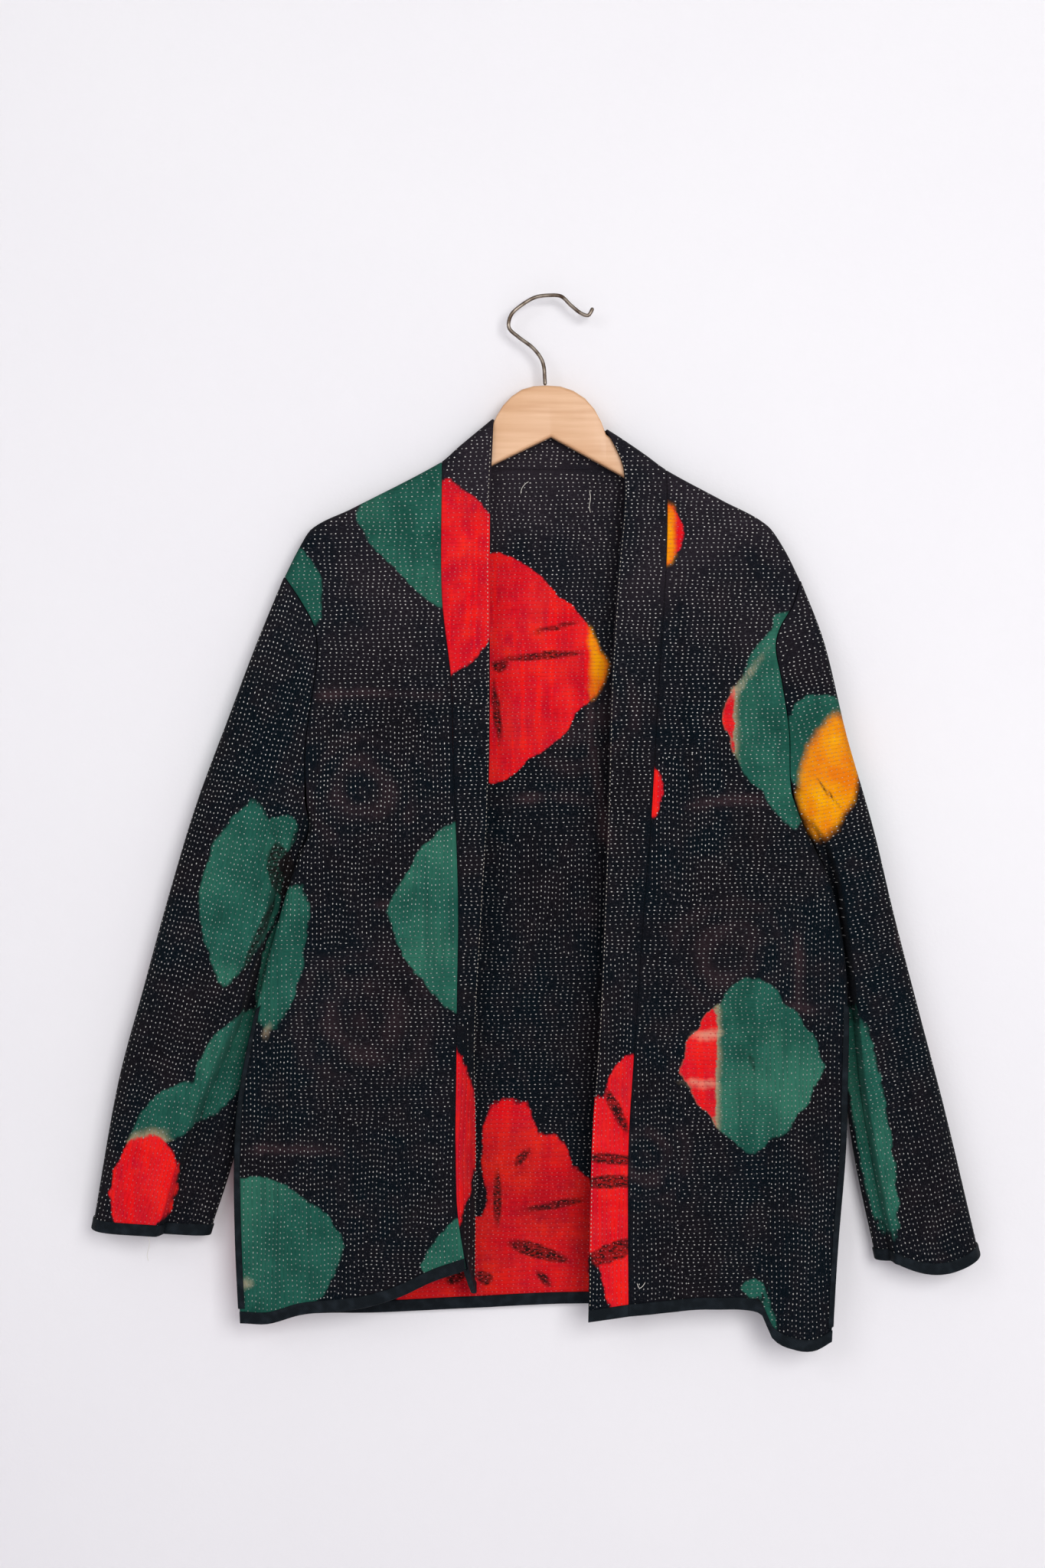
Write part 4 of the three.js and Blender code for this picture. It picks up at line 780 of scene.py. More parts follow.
def quilt_phase(face, x, z):
    """Row number across, row number down, and which of the two applies."""
    phases = []
    for turn in ROWS[face][:2]:
        c, s = np.cos(np.radians(turn)), np.sin(np.radians(turn))
        p, q = x * c + z * s, z * c - x * s
        phases.append((q - row_wobble(p, q)) / ROW_SPACING)
    return np.stack(phases + [runs_down(face, x, z)], axis=-1)


# %% [markdown]
# A running stitch shows as a short grain of thread, sunk at both ends. There are tens of
# thousands, so each has only five points: two ends, two sides and a top. To lay them on the
# hanging cloth, the flat place of each end is looked up on the panel's grid, all at once, by a
# few steps of Newton's method.

# %% Places on a grid
NEWTON_STEPS = 9
FOUND_WITHIN = 0.4


def sample(grid, v, u):
    """Bilinear value of a grid at row v and column u, both fractional."""
    rows, columns = grid.shape[:2]
    j = np.clip(v.astype(int), 0, rows - 2)
    i = np.clip(u.astype(int), 0, columns - 2)
    fv, fu = (v - j)[:, None], (u - i)[:, None]
    along = lambda row: lerp(grid[row, i], grid[row, i + 1], fu)
    return lerp(along(j), along(j + 1), fv)


def locate(grid, x, z):
    """Row and column of the grid point that lies at x and z, and whether it was found: the
    nearest of a few known points first, then Newton's steps."""
    rows, columns = grid.shape[:2]
    j, i = np.meshgrid(np.arange(0, rows, 4), np.arange(0, columns, 3), indexing="ij")
    known = grid[j, i][..., ::2].reshape(-1, 2).astype(np.float32)
    nearest = []
    for px, pz in zip(*(np.array_split(part.astype(np.float32), 1 + len(x) // 4000)
                        for part in (x, z))):
        squares = (known[None, :, 0] - px[:, None]) ** 2 + (known[None, :, 1] - pz[:, None]) ** 2
        nearest.append(squares.argmin(axis=1))
    nearest = np.concatenate(nearest)
    v, u = j.ravel()[nearest].astype(float), i.ravel()[nearest].astype(float)
    target = np.stack([x, z], axis=-1)
    flat = lambda v, u: sample(grid, v, u)[:, ::2]
    for _ in range(NEWTON_STEPS):
        du = flat(v, np.minimum(u + 0.5, columns - 1)) - flat(v, np.maximum(u - 0.5, 0))
        dv = flat(np.minimum(v + 0.5, rows - 1), u) - flat(np.maximum(v - 0.5, 0), u)
        miss = target - flat(v, u)
        determinant = du[:, 0] * dv[:, 1] - du[:, 1] * dv[:, 0]
        determinant = np.where(np.abs(determinant) < 1e-6, 1e-6, determinant)
        step_u = (miss[:, 0] * dv[:, 1] - miss[:, 1] * dv[:, 0]) / determinant
        step_v = (du[:, 0] * miss[:, 1] - du[:, 1] * miss[:, 0]) / determinant
        u = np.clip(u + np.clip(step_u, -5, 5), 0, columns - 1)
        v = np.clip(v + np.clip(step_v, -8, 8), 0, rows - 1)
    miss = np.linalg.norm(flat(v, u) - target, axis=-1)
    return v, u, miss < FOUND_WITHIN


# %% Rows of running stitch
def stitch_ends(face, turn, down, box, random):
    """Flat places of the two ends of every stitch whose rows have this direction."""
    x0, x1, z0, z1 = box
    c, s = np.cos(np.radians(turn)), np.sin(np.radians(turn))
    corners_x, corners_z = np.array([x0, x1, x0, x1]), np.array([z0, z0, z1, z1])
    p_all, q_all = corners_x * c + corners_z * s, corners_z * c - corners_x * s
    rows = np.arange(np.floor(q_all.min() / ROW_SPACING), np.ceil(q_all.max() / ROW_SPACING))
    along = np.arange(np.floor(p_all.min() / STITCH_PITCH), np.ceil(p_all.max() / STITCH_PITCH))
    row, number = (part.ravel() for part in np.meshgrid(rows, along, indexing="ij"))
    shift = 0.15 * (row % 2) + 0.22 * np.sin(row * 0.61) + random.uniform(-0.12, 0.12, row.size)
    p = (number + shift) * STITCH_PITCH
    half = STITCH_LENGTH / 2 * random.uniform(0.75, 1.2, row.size)
    keep = random.uniform(0, 1, row.size) > DROPPED_STITCHES
    ends = []
    for sign in (-1, 1):
        along_row = p + sign * half
        q = row * ROW_SPACING + row_wobble(along_row, row * ROW_SPACING)
        ends.append(np.stack([along_row * c - q * s, along_row * s + q * c], axis=-1))
    middle = (ends[0] + ends[1]) / 2
    chosen = runs_down(face, middle[:, 0], middle[:, 1]) >= 0.5
    inside = (middle[:, 0] > x0) & (middle[:, 0] < x1) & (middle[:, 1] > z0) & (middle[:, 1] < z1)
    keep &= inside & (chosen == down)
    return ends[0][keep], ends[1][keep]


STITCH_FACES = np.array([[0, 3, 4], [3, 1, 4], [1, 2, 4], [2, 0, 4], [0, 2, 3], [1, 3, 2]])
GREY_THREAD, CREAM_THREAD = np.array([0.28, 0.28, 0.28]), np.array([0.92, 0.90, 0.85])


def stitch_mesh(name, start, stop, centre, normal, half_width, hue, material):
    """Five points for each stitch: both ends a little below the cloth's face, two sides half a
    thread beside the middle, and a top that stands proud of it."""
    side = unit(np.cross(normal, stop - start)) * half_width
    points = np.stack([start - normal * STITCH_SINK, stop - normal * STITCH_SINK,
                       centre + side, centre - side, centre + normal * STITCH_RISE], axis=1)
    faces = (STITCH_FACES[None] + 5 * np.arange(len(points))[:, None, None]).reshape(-1, 3)
    return make_object(name, points.reshape(-1, 3), faces, material,
                       {"hue": np.repeat(hue, 5, axis=0)})


def thread_hue(face, x, z, random):
    """Linear colour of each stitch: grey to cream at random, about 1.4 times as bright at the
    shoulders as low down, and stained by the dye below."""
    tone = random.uniform(0, 1, (x.size, 1))
    hue = lerp(GREY_THREAD, CREAM_THREAD, tone)
    hue *= lerp(0.76, 1.08, smooth(-720, -260, z))[:, None]
    stains = {GREEN: (0.06, 0.24, 0.17, 0.3), RED: (0.85, 0.03, 0.05, 0.85),
              AMBER: (0.85, 0.38, 0.02, 0.7)}
    fields = dye_fields(face, x, z)
    for dye, (*stain, share) in stains.items():
        hue = np.where((fields[dye] > 0)[:, None], lerp(hue, np.array(stain), share), hue)
    return hue


def stitches(name, face, surface, normals, material, seed, margin=2.5):
    """One mesh with all stitches of a face that lie further than the margin from its edges."""
    random = np.random.default_rng(seed)
    x, z = surface[..., 0], surface[..., 2]
    box = (x.min(), x.max(), z.min(), z.max())
    tails, heads = [], []
    for down, turn in enumerate(ROWS[face][:2]):
        tail, head = stitch_ends(face, turn, bool(down), box, random)
        tails.append(tail)
        heads.append(head)
    tail, head = np.concatenate(tails), np.concatenate(heads)
    middle = (tail + head) / 2
    distance = edge_distance(surface)[..., None]
    v, u, found = locate(surface, middle[:, 0], middle[:, 1])
    found &= sample(distance, v, u)[:, 0] > margin
    places = []
    for end in (tail, head):
        v_end, u_end, found_end = locate(surface, end[:, 0], end[:, 1])
        places.append(sample(surface, v_end, u_end))
        found &= found_end
    start, stop = places[0][found], places[1][found]
    normal = unit(sample(normals, v[found], u[found]))
    centre = sample(surface, v[found], u[found])
    hue = thread_hue(face, centre[:, 0], centre[:, 2], random)
    print(name, len(start), "stitches")
    return stitch_mesh(name, start, stop, centre, normal, STITCH_HALF_WIDTH, hue, material)


# %% [markdown]
# Materials. One helper turns a hex colour into Blender's linear values, one adds a node with
# its settings and links, and four short ones make what every finish here needs: clouds, a
# contrast, a mix of two colours and a bump. Patterns are laid on the object's own places, so they
# hold still when the camera moves.

# %% Colour and node helpers
def linear(hex_colour):
    """sRGB hex to linear red, green, blue and alpha."""
    srgb = np.array([int(hex_colour[i:i + 2], 16) for i in (1, 3, 5)]) / 255
    low, high = srgb / 12.92, ((srgb + 0.055) / 1.055) ** 2.4
    return (*np.where(srgb <= 0.04045, low, high), 1.0)


def add(tree, kind, inputs=None, **settings):
    """A node with its settings; inputs are links from sockets, or values, by name or number."""
    made = tree.nodes.new("ShaderNode" + kind)
    for key, value in settings.items():
        setattr(made, key, value)
    for key, value in (inputs or {}).items():
        if isinstance(value, bpy.types.NodeSocket):
            tree.links.new(value, made.inputs[key])
        else:
            made.inputs[key].default_value = value
    return made


def new_material(name):
    """An empty node tree with a Principled shader on its output; and where on the object a point
    lies, in metres, for its patterns."""
    material = bpy.data.materials.new(name)
    material.use_nodes = True
    tree = material.node_tree
    tree.nodes.clear()
    shader = add(tree, "BsdfPrincipled")
    tree.links.new(shader.outputs[0], add(tree, "OutputMaterial").inputs[0])
    return material, tree, shader, add(tree, "TexCoord").outputs["Object"]


def noise_at(tree, where, scale, detail, rough=0.5):
    """Clouds between zero and one, finer at a larger scale."""
    return add(tree, "TexNoise", {"Vector": where, "Scale": scale, "Detail": detail,
                                  "Roughness": rough}).outputs["Fac"]


def stretch(tree, value, low, high):
    """Zero up to the low value, one from the high one on, a straight line between."""
    ends = {"Value": value, "From Min": low, "From Max": high}
    return add(tree, "MapRange", ends).outputs["Result"]


def blend(tree, share, first, second):
    """The first colour turned by its share towards the second; hex or a socket."""
    first, second = (linear(c) if isinstance(c, str) else c for c in (first, second))
    return add(tree, "Mix", {0: share, 6: first, 7: second}, data_type="RGBA").outputs[2]


def dress(tree, shader, colour, height, strength, depth, values):
    """Gives the shader a colour, a bump of so many millimetres, and its other values."""
    bump = add(tree, "Bump", {"Height": height, "Strength": strength, "Distance": depth * MM})
    tree.links.new(colour, shader.inputs["Base Color"])
    tree.links.new(bump.outputs[0], shader.inputs["Normal"])
    for key, value in values.items():
        shader.inputs[key].default_value = value


# %% [markdown]
# The printed cotton. Vat dye soaks into the yarn, so every colour is mottled, and where two
# dyes meet there is a pale fringe. Faint streaks run down the green and the red, and the dark
# marks are hatched; most are printed, but two on the left sleeve are painted shadow, in the
# hollow below the armpit and along the crease. Low inside the back, behind the fronts, the red
# is darkened to crimson as painted shade. The black ground has turned rusty and violet with
# wear, and it is made lighter higher up, towards the shoulders. Cotton is matt with a trace of
# fibre sheen. Its weave is drawn at 1.1 mm a thread, about twice as coarse as it is, so that it
# shows; the quilting puffs up 0.6 mm between the rows.

# %% Kantha cotton
def kantha_cotton():
    """Dyes by their distance fields, over the mottled ground, with weave and quilting as bump."""
    material, tree, shader, position = new_material("printed_kantha_cotton")
    field = {name: add(tree, "Attribute", attribute_name=name).outputs["Fac"]
             for name in DYE_NAMES + ("ghost",)}
    noise = lambda scale, detail=3.0, rough=0.55, where=position: noise_at(
        tree, where, scale, detail, rough)
    mix = lambda share, first, second: blend(tree, share, first, second)
    contrast = lambda value, low, high: stretch(tree, value, low, high)
    drawn_out = lambda scale: add(tree, "Mapping", {"Vector": position, "Scale": scale}).outputs[0]
    math = lambda operation, *values: add(
        tree, "Math", dict(enumerate(values)), operation=operation).outputs[0]
    ragged = math("MULTIPLY", math("SUBTRACT", noise(75, 5.0, 0.62), 0.5), 9.0)
    blotch, fine, cloud = noise(38), noise(900, 2.0), noise(11, 4.0)
    streak = noise(1.0, 3.0, where=drawn_out((150.0, 150.0, 9.0)))
    hatch = noise(1.0, 2.0, where=drawn_out((260.0, 260.0, 620.0)))

    def mask(value, softness, fray=1.0):
        """Zero to one across a frayed outline that is twice the softness wide, in millimetres."""
        return add(tree, "MapRange", {"Value": math("ADD", value, math("MULTIPLY", ragged, fray)),
                                      "From Min": -softness, "From Max": softness},
                   interpolation_type="SMOOTHSTEP").outputs["Result"]

    _, depth_behind, height_above = add(tree, "SeparateXYZ", {0: position}).outputs
    # The ground is made lighter higher up, towards the shoulders, by height alone
    shoulder = contrast(height_above, -0.36, -0.2)
    ground = mix(contrast(cloud, 0.38, 0.62), "#040e15", "#0f0e13")
    ground = mix(math("MULTIPLY", contrast(blotch, 0.45, 0.7), 0.6), ground, "#1a1519")
    ground = mix(math("MULTIPLY", shoulder, contrast(cloud, 0.3, 0.6)), ground, "#252026")
    ground = mix(math("MULTIPLY", field["ghost"], contrast(blotch, 0.25, 0.55)), ground, "#332529")
    green = mix(contrast(blotch, 0.32, 0.68), "#174a3e", "#235c4e")
    green = mix(math("MULTIPLY", contrast(cloud, 0.45, 0.65), 0.7), green, "#37745f")
    green = mix(math("MULTIPLY", contrast(streak, 0.5, 0.7), 0.4), green, "#123c34")
    red = mix(contrast(blotch, 0.35, 0.68), "#b40424", "#d8042e")
    red = mix(contrast(cloud, 0.45, 0.62), red, "#a0082e")
    red = mix(math("MULTIPLY", contrast(streak, 0.5, 0.64), 0.7), red, "#ec0a18")
    # Painted shade: low inside the back, behind the fronts, the red is darkened towards crimson
    low, inner = contrast(height_above, -0.68, -0.74), contrast(depth_behind, -0.02, -0.005)
    painted_shade_low_inside = math("MULTIPLY", low, inner)
    red = mix(math("MULTIPLY", painted_shade_low_inside, contrast(cloud, 0.2, 0.6)), red, "#8a0420")
    flame = mix(contrast(blotch, 0.35, 0.65), "#ea160c", "#fa300e")
    amber = mix(contrast(blotch, 0.35, 0.65), "#e87a06", "#f6a804")

    dyed = mix(mask(field["green"], 1.2), ground, green)
    in_red = mask(field["red"], 1.2)
    fringe = math("MULTIPLY", mask(field["red"], 7.0), math("SUBTRACT", 1.0, in_red))
    dyed = mix(math("MULTIPLY", fringe, mask(field["green"], 1.2)), dyed, "#dcb48a")
    dyed = mix(in_red, dyed, red)
    in_flame = math("MULTIPLY", mask(field["flame"], 5.0), in_red)
    dyed = mix(math("MULTIPLY", in_flame, 0.85), dyed, flame)
    dyed = mix(math("MULTIPLY", mask(field["amber"], 4.0), 0.95), dyed, amber)
    dyed = mix(math("MULTIPLY", mask(field["pale"], 3.0), 0.45), dyed, "#d8c0a0")
    scratched = math("ADD", math("MULTIPLY", contrast(hatch, 0.42, 0.6), 0.4), 0.58)
    # Dark hatched marks: printed ones, and painted shadow in the left sleeve's hollow and crease
    dyed = mix(math("MULTIPLY", mask(field["ink"], 1.2, 0.3), scratched), dyed, "#15100f")
    dyed = mix(math("MULTIPLY", contrast(fine, 0.58, 0.72), 0.1), dyed, "#8b8590")

    quilt = add(tree, "Attribute", attribute_name="quilt").outputs["Vector"]
    across, down, which = add(tree, "SeparateXYZ", {0: quilt}).outputs
    row = add(tree, "Mix", {0: math("GREATER_THAN", which, 0.5), 2: across, 3: down}).outputs[0]
    puff = math("POWER", math("ABSOLUTE", math("SINE", math("MULTIPLY", row, np.pi))), 0.6)
    wave = lambda direction: add(tree, "TexWave", {
        "Vector": position, "Scale": 285.0, "Distortion": 1.5, "Detail": 1.0},
        bands_direction=direction).outputs["Fac"]
    weave = math("ADD", wave("X"), wave("Z"))
    height = math("ADD", math("MULTIPLY", puff, 0.6), math("MULTIPLY", weave, 0.08))
    height = math("ADD", height, math("MULTIPLY", blotch, 0.5))
    dress(tree, shader, dyed, height, 0.9, 1.0, {
        "Roughness": 0.92, "Specular IOR Level": 0.05, "Sheen Weight": 0.01, "Sheen Roughness": 0.6})
    return material


KANTHA = kantha_cotton()

# %% [markdown]
# The thread is unbleached cotton: off-white, greyed by wear, each stitch its own shade, and
# stained where it crosses a dyed motif. The binding is plain black cotton cut on the bias,
# smoother and deeper black than the print.

# %% Thread and binding
def cotton_thread():
    """Each stitch's own colour, with fibres 0.4 mm apart as bump."""
    material, tree, shader, position = new_material("off_white_cotton_thread")
    hue = add(tree, "Attribute", attribute_name="hue").outputs["Color"]
    fibre = noise_at(tree, position, 2500.0, 1.0)
    shade = add(tree, "MapRange", {"Value": fibre, "To Min": 0.75, "To Max": 1.0}).outputs["Result"]
    tint = add(tree, "VectorMath", {0: hue, "Scale": shade}, operation="SCALE").outputs[0]
    dress(tree, shader, tint, fibre, 0.3, 1.0, {"Roughness": 0.85, "Specular IOR Level": 0.2})
    return material


def bias_binding():
    """Black poplin: a fine slanted weave, a little worn to grey where it rubs."""
    material, tree, shader, position = new_material("black_cotton_binding")
    wear = noise_at(tree, position, 120.0, 4.0)
    shade = blend(tree, stretch(tree, wear, 0.45, 0.75), "#0a1116", "#1b2228")
    weave = add(tree, "TexWave", {"Vector": position, "Scale": 330.0, "Distortion": 1.0},
                bands_direction="DIAGONAL").outputs["Fac"]
    height = add(tree, "Math", {0: weave, 1: wear}, operation="ADD").outputs[0]
    dress(tree, shader, shade, height, 0.5, 0.3, {"Roughness": 0.75, "Specular IOR Level": 0.12})
    return material


THREAD, BINDING = cotton_thread(), bias_binding()
print("cloth finishes:", KANTHA.name, THREAD.name, BINDING.name)

# %% [markdown]
# The panels themselves. Each is a wall round its grid, dyed on both faces, and stitched on the
# faces that show.

# %% Build a cloth panel
def face_fields(face, points):
    """The print's fields, the ghost and the quilting phase at the points of a face."""
    x, z = points[..., 0].ravel(), points[..., 2].ravel()
    fields = dict(zip(DYE_NAMES, dye_fields(face, x, z)))
    fields["ghost"] = ghost(x, z)
    fields["quilt"] = quilt_phase(face, x, z)
    return fields


def place(made, slot, *nodes):
    """Rides on the one body and stands for the solids named, which it hides; slot is not used."""
    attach(made, BODY)
    if nodes:
        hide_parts(*nodes)
    return made


def cloth_panel(name, grid, thickness, outside, inside, ring=False):
    """The wall round the grid with the fields of its outer and its inner face."""
    outer, inner, quads = wall(grid, thickness, ring)
    fields = [outside(outer), inside(inner)]
    joined = {key: np.concatenate([f[key] for f in fields]) for key in fields[0]}
    made = make_object(name, np.concatenate([outer.reshape(-1, 3), inner.reshape(-1, 3)]),
                       quads, KANTHA, joined)
    place(made, "cloth", name)
    print(name, "wall with", triangle_count(made), "triangles")
    return made, outer, inner


# %% Fronts and neckbands
plain = lambda face: lambda points: face_fields(face, points)
front_left_grid = front_grid(LEFT)
front_right_grid = front_grid(RIGHT)[:, ::-1]
band_left_grid = band_grid(LEFT)[:, ::-1]
band_right_grid = band_grid(RIGHT)
PANELS = {
    "front_left": (front_left_grid, CLOTH, "front_left", "front_inside"),
    "front_right": (front_right_grid, CLOTH, "front_right", "front_inside"),
    "band_left": (band_left_grid, BAND_CLOTH, "band_left", "band_left"),
    "band_right": (band_right_grid, BAND_CLOTH, "band_right", "band_right"),
    "band_neck": (neck_grid(), BAND_CLOTH, "band_neck", "band_neck"),
    "back": (back_grid(), CLOTH, "back_outside", "back_inside"),
}
cloth, threads = {}, {}
for seed, (name, (grid, thickness, outside, inside)) in enumerate(PANELS.items()):
    cloth[name], outer, inner = cloth_panel(name, grid, thickness, plain(outside), plain(inside))
    normals = grid_normals(grid)
    threads[name] = [stitches("stitches_" + name, outside, outer, normals, THREAD, 100 + seed)]
    if name == "back":
        threads[name].append(stitches("stitches_back_inside", inside, inner, -normals, THREAD, 200))


# %% Edge stitching of the neckbands
EDGE_PITCH = 3.6
EDGE_LENGTH = 2.5
EDGE_HALF_WIDTH = 0.45
EDGE_HUE = [0.72, 0.68, 0.58]


def edge_stitches(name, surface, normals, inset):
    """A row of stitches along the free edge, inset by some columns: two points are taken for
    each, at equal steps of the column's length."""
    steps = np.linalg.norm(np.diff(surface[:, -1], axis=0), axis=1)
    length = np.concatenate([[0], np.cumsum(steps)])
    starts = np.arange(20, length[-1] - 14, EDGE_PITCH)
    u = np.full(starts.size, surface.shape[1] - 1 - inset)
    rows = lambda s: np.interp(s, length, np.arange(len(length)))
    start = sample(surface, rows(starts), u)
    stop = sample(surface, rows(starts + EDGE_LENGTH), u)
    normal = unit(sample(normals, rows(starts + 1.2), u))
    hue = np.tile(EDGE_HUE, (len(start), 1))
    print(name, len(start), "stitches")
    return stitch_mesh(name, start, stop, (start + stop) / 2, normal, EDGE_HALF_WIDTH, hue, THREAD)


for name, flip in (("band_left", True), ("band_right", False)):
    grid = PANELS[name][0][:, ::-1] if flip else PANELS[name][0]
    off = grid_normals(grid) * (-1 if flip else 1)
    threads[name].append(
        edge_stitches("edge_stitches_" + name, grid + off * BAND_CLOTH / 2, off, 3.4))


# %% Sleeves
SLEEVE_MARGIN = 1.5


def sleeve(half, rows, cuff_sag, seed):
    """A ring wall; its front and rear faces have their own print and their own stitches."""
    name = "sleeve_" + half.name
    grid = sleeve_grid(half, rows, cuff_sag)
    count = grid.shape[1]
    front, rear = np.arange(SLEEVE_HALF), np.arange(SLEEVE_HALF - 1, count + 1) % count
    if half is LEFT:
        grid = grid[:, (-np.arange(count)) % count]
        front, rear = (-front[::-1]) % count, (-rear[::-1]) % count
    is_front = np.isin(np.arange(count), front)

    def fields(points):
        """The front's fields on the columns of the front, the rear's on the others."""
        front_fields, rear_fields = face_fields(name, points), face_fields(name + "_rear", points)
        chosen = np.tile(is_front, len(points))
        pick = lambda a, b: np.where(chosen if a.ndim == 1 else chosen[:, None], a, b)
        return {key: pick(front_fields[key], rear_fields[key]) for key in front_fields}
    made, outer, _ = cloth_panel(name, grid, CLOTH, fields, fields, ring=True)
    normals = grid_normals(grid, ring=True)
    sewn = [stitches("stitches_" + name, name, outer[:, front], normals[:, front], THREAD, seed,
                     SLEEVE_MARGIN),
            stitches("stitches_" + name + "_rear", name + "_rear", outer[:, rear],
                     normals[:, rear], THREAD, seed + 1, SLEEVE_MARGIN)]
    return made, sewn, grid


cloth["sleeve_left"], threads["sleeve_left"], sleeve_left_grid = sleeve(LEFT, SLEEVE_LEFT, 0, 300)
cloth["sleeve_right"], threads["sleeve_right"], sleeve_right_grid = sleeve(
    RIGHT, SLEEVE_RIGHT, CUFF_SAG_RIGHT, 310)
for sewn in threads.values():
    for made in sewn:
        place(made, "cloth")

# %% [markdown]
# The black binding is a strip folded over each hem, cuff and side vent. Its section is a U with
# full, rounded arms, carried along the edge of the cloth: at each station the section's points
# are found by walking from the edge into the panel and then off along the cloth's normal.

# %% Binding section
def binding_section(thickness, reach):
    """Distance off the cloth's middle (n) and from its edge (d) for the U's outer and inner line."""
    inside = thickness / 2 + FOLD_CLEARANCE
    d_arm = reach * np.array([1, 0.99, 0.94, 0.83, 0.67, 0.44, 0.22, 0.07])
    full = np.array([0.35, 0.6, 0.85, 1, 0.92, 0.92, 1, 1])
    turn = np.radians(np.linspace(0, 180, 11)[1:-1])
    n_turn, d_turn = (inside + BINDING_CLOTH) * np.cos(turn), -1.4 * np.sin(turn)
    arm = inside + full * BINDING_CLOTH
    n = np.concatenate([arm, n_turn, -arm[::-1]])
    d = np.concatenate([d_arm, d_turn, d_arm[::-1]])
    n_inner = np.concatenate([np.full(len(d_arm), inside), inside * np.cos(turn),
                              np.full(len(d_arm), -inside)])
    d_inner = np.maximum(d, -0.3)
    return n, d, n_inner, d_inner


# %% Binding along an edge
VENT_OPENS = 15
VENT_TO_HEM = 1.5


def binding(name, lines, normals, thickness=CLOTH, reach=BINDING_WIDTH, ring=False):
    """Carries the section along the edge. lines holds, for each station, the cloth's points from
    the edge inwards; a distance is walked along them by linear steps."""
    n, d, n_inner, d_inner = binding_section(thickness, reach)
    steps = np.linalg.norm(np.diff(lines, axis=1), axis=-1)
    length = np.concatenate([np.zeros((len(lines), 1)), np.cumsum(steps, axis=1)], axis=1)

    def walk(distances):
        """Points and normals at these distances along every station's line."""
        last = lines.shape[1] - 2
        i = np.clip((length[:, None, :] <= distances[None, :, None]).sum(-1) - 1, 0, last)
        station = np.arange(len(lines))[:, None]
        span = length[station, i + 1] - length[station, i]
        t = ((distances[None] - length[station, i]) / span)[..., None]
        points = lerp(lines[station, i], lines[station, i + 1], t)
        return points, unit(lerp(normals[station, i], normals[station, i + 1], np.clip(t, 0, 1)))
    outer_points, outer_normals = walk(d)
    inner_points, inner_normals = walk(d_inner)
    ripple = 0.1 * np.sin(np.arange(len(lines)) * 1.1)[:, None, None]
    pinched = np.minimum(1 + ripple * (np.abs(n[:, None]) > 0.5), 1)
    outer = outer_points + outer_normals * n[:, None] * pinched
    inner = inner_points + inner_normals * n_inner[:, None]
    section = np.concatenate([outer, inner[:, ::-1]], axis=1)
    count, around = section.shape[:2]
    index = np.arange(count * around).reshape(count, around)
    index = np.concatenate([index, index[:, :1]], axis=1)
    if ring:
        index = np.concatenate([index, index[:1]], axis=0)
    quads = [section_quads(index)]
    if not ring:
        for row, turn in ((0, 1), (count - 1, -1)):
            a, b = index[row, :len(n)], index[row, len(n):-1][::-1]
            quads.append(np.stack([a[:-1], b[:-1], b[1:], a[1:]], -1)[:, ::turn])
    points = section.reshape(-1, 3)
    made = make_object(name, points, facing_out(points, np.concatenate(quads)), BINDING)
    return place(made, "binding", name)


def hem_lines(grid, ring=False):
    """Stations at the bottom edge: the last four rows, from the edge up."""
    rows = [-1, -2, -3, -4]
    pick = lambda a: np.swapaxes(a[rows], 0, 1)
    return pick(grid), pick(grid_normals(grid, ring))


def vent_lines(grid, at_end):
    """Stations down a vent's side edge, from the vent's top to just above the hem binding."""
    columns = -1 - np.arange(13) if at_end else np.arange(13)
    edge = grid[:, -1 if at_end else 0]
    above_hem = edge[-1, 2] + BINDING_WIDTH + VENT_TO_HEM
    rows = (edge[:, 2] <= VENT_TOP - VENT_OPENS) & (edge[:, 2] >= above_hem)
    return grid[rows][:, columns], grid_normals(grid)[rows][:, columns]


# %% Bind hems, vents and cuffs
back_cloth_grid = PANELS["back"][0]
HEMS = {
    "hem_front_left": (front_left_grid, CLOTH), "hem_front_right": (front_right_grid[:, ::-1], CLOTH),
    "hem_band_left": (band_left_grid[:, ::-1], BAND_CLOTH),
    "hem_band_right": (band_right_grid, BAND_CLOTH), "hem_back": (back_cloth_grid, CLOTH),
}
VENTS = {
    "vent_front_left": (front_left_grid, True), "vent_front_right": (front_right_grid, False),
    "vent_back_left": (back_cloth_grid, False), "vent_back_right": (back_cloth_grid, True),
}
CUFFS = {"cuff_left": sleeve_left_grid, "cuff_right": sleeve_right_grid}
for name, (grid, thickness) in HEMS.items():
    binding(name, *hem_lines(grid), thickness)
for name, (grid, at_end) in VENTS.items():
    binding(name, *vent_lines(grid, at_end), reach=VENT_WIDTH)
for name, grid in CUFFS.items():
    binding(name, *hem_lines(grid, ring=True), ring=True)

# %% [markdown]
# The hanger. A board of pale lacquered wood is cut to an arch over a shallow notch, its edges
# rounded with a router; a bent wire is screwed into its top. The board is a rounded rectangle
# carried from tip to tip between its top and bottom lines, the wire a circle along a curve.

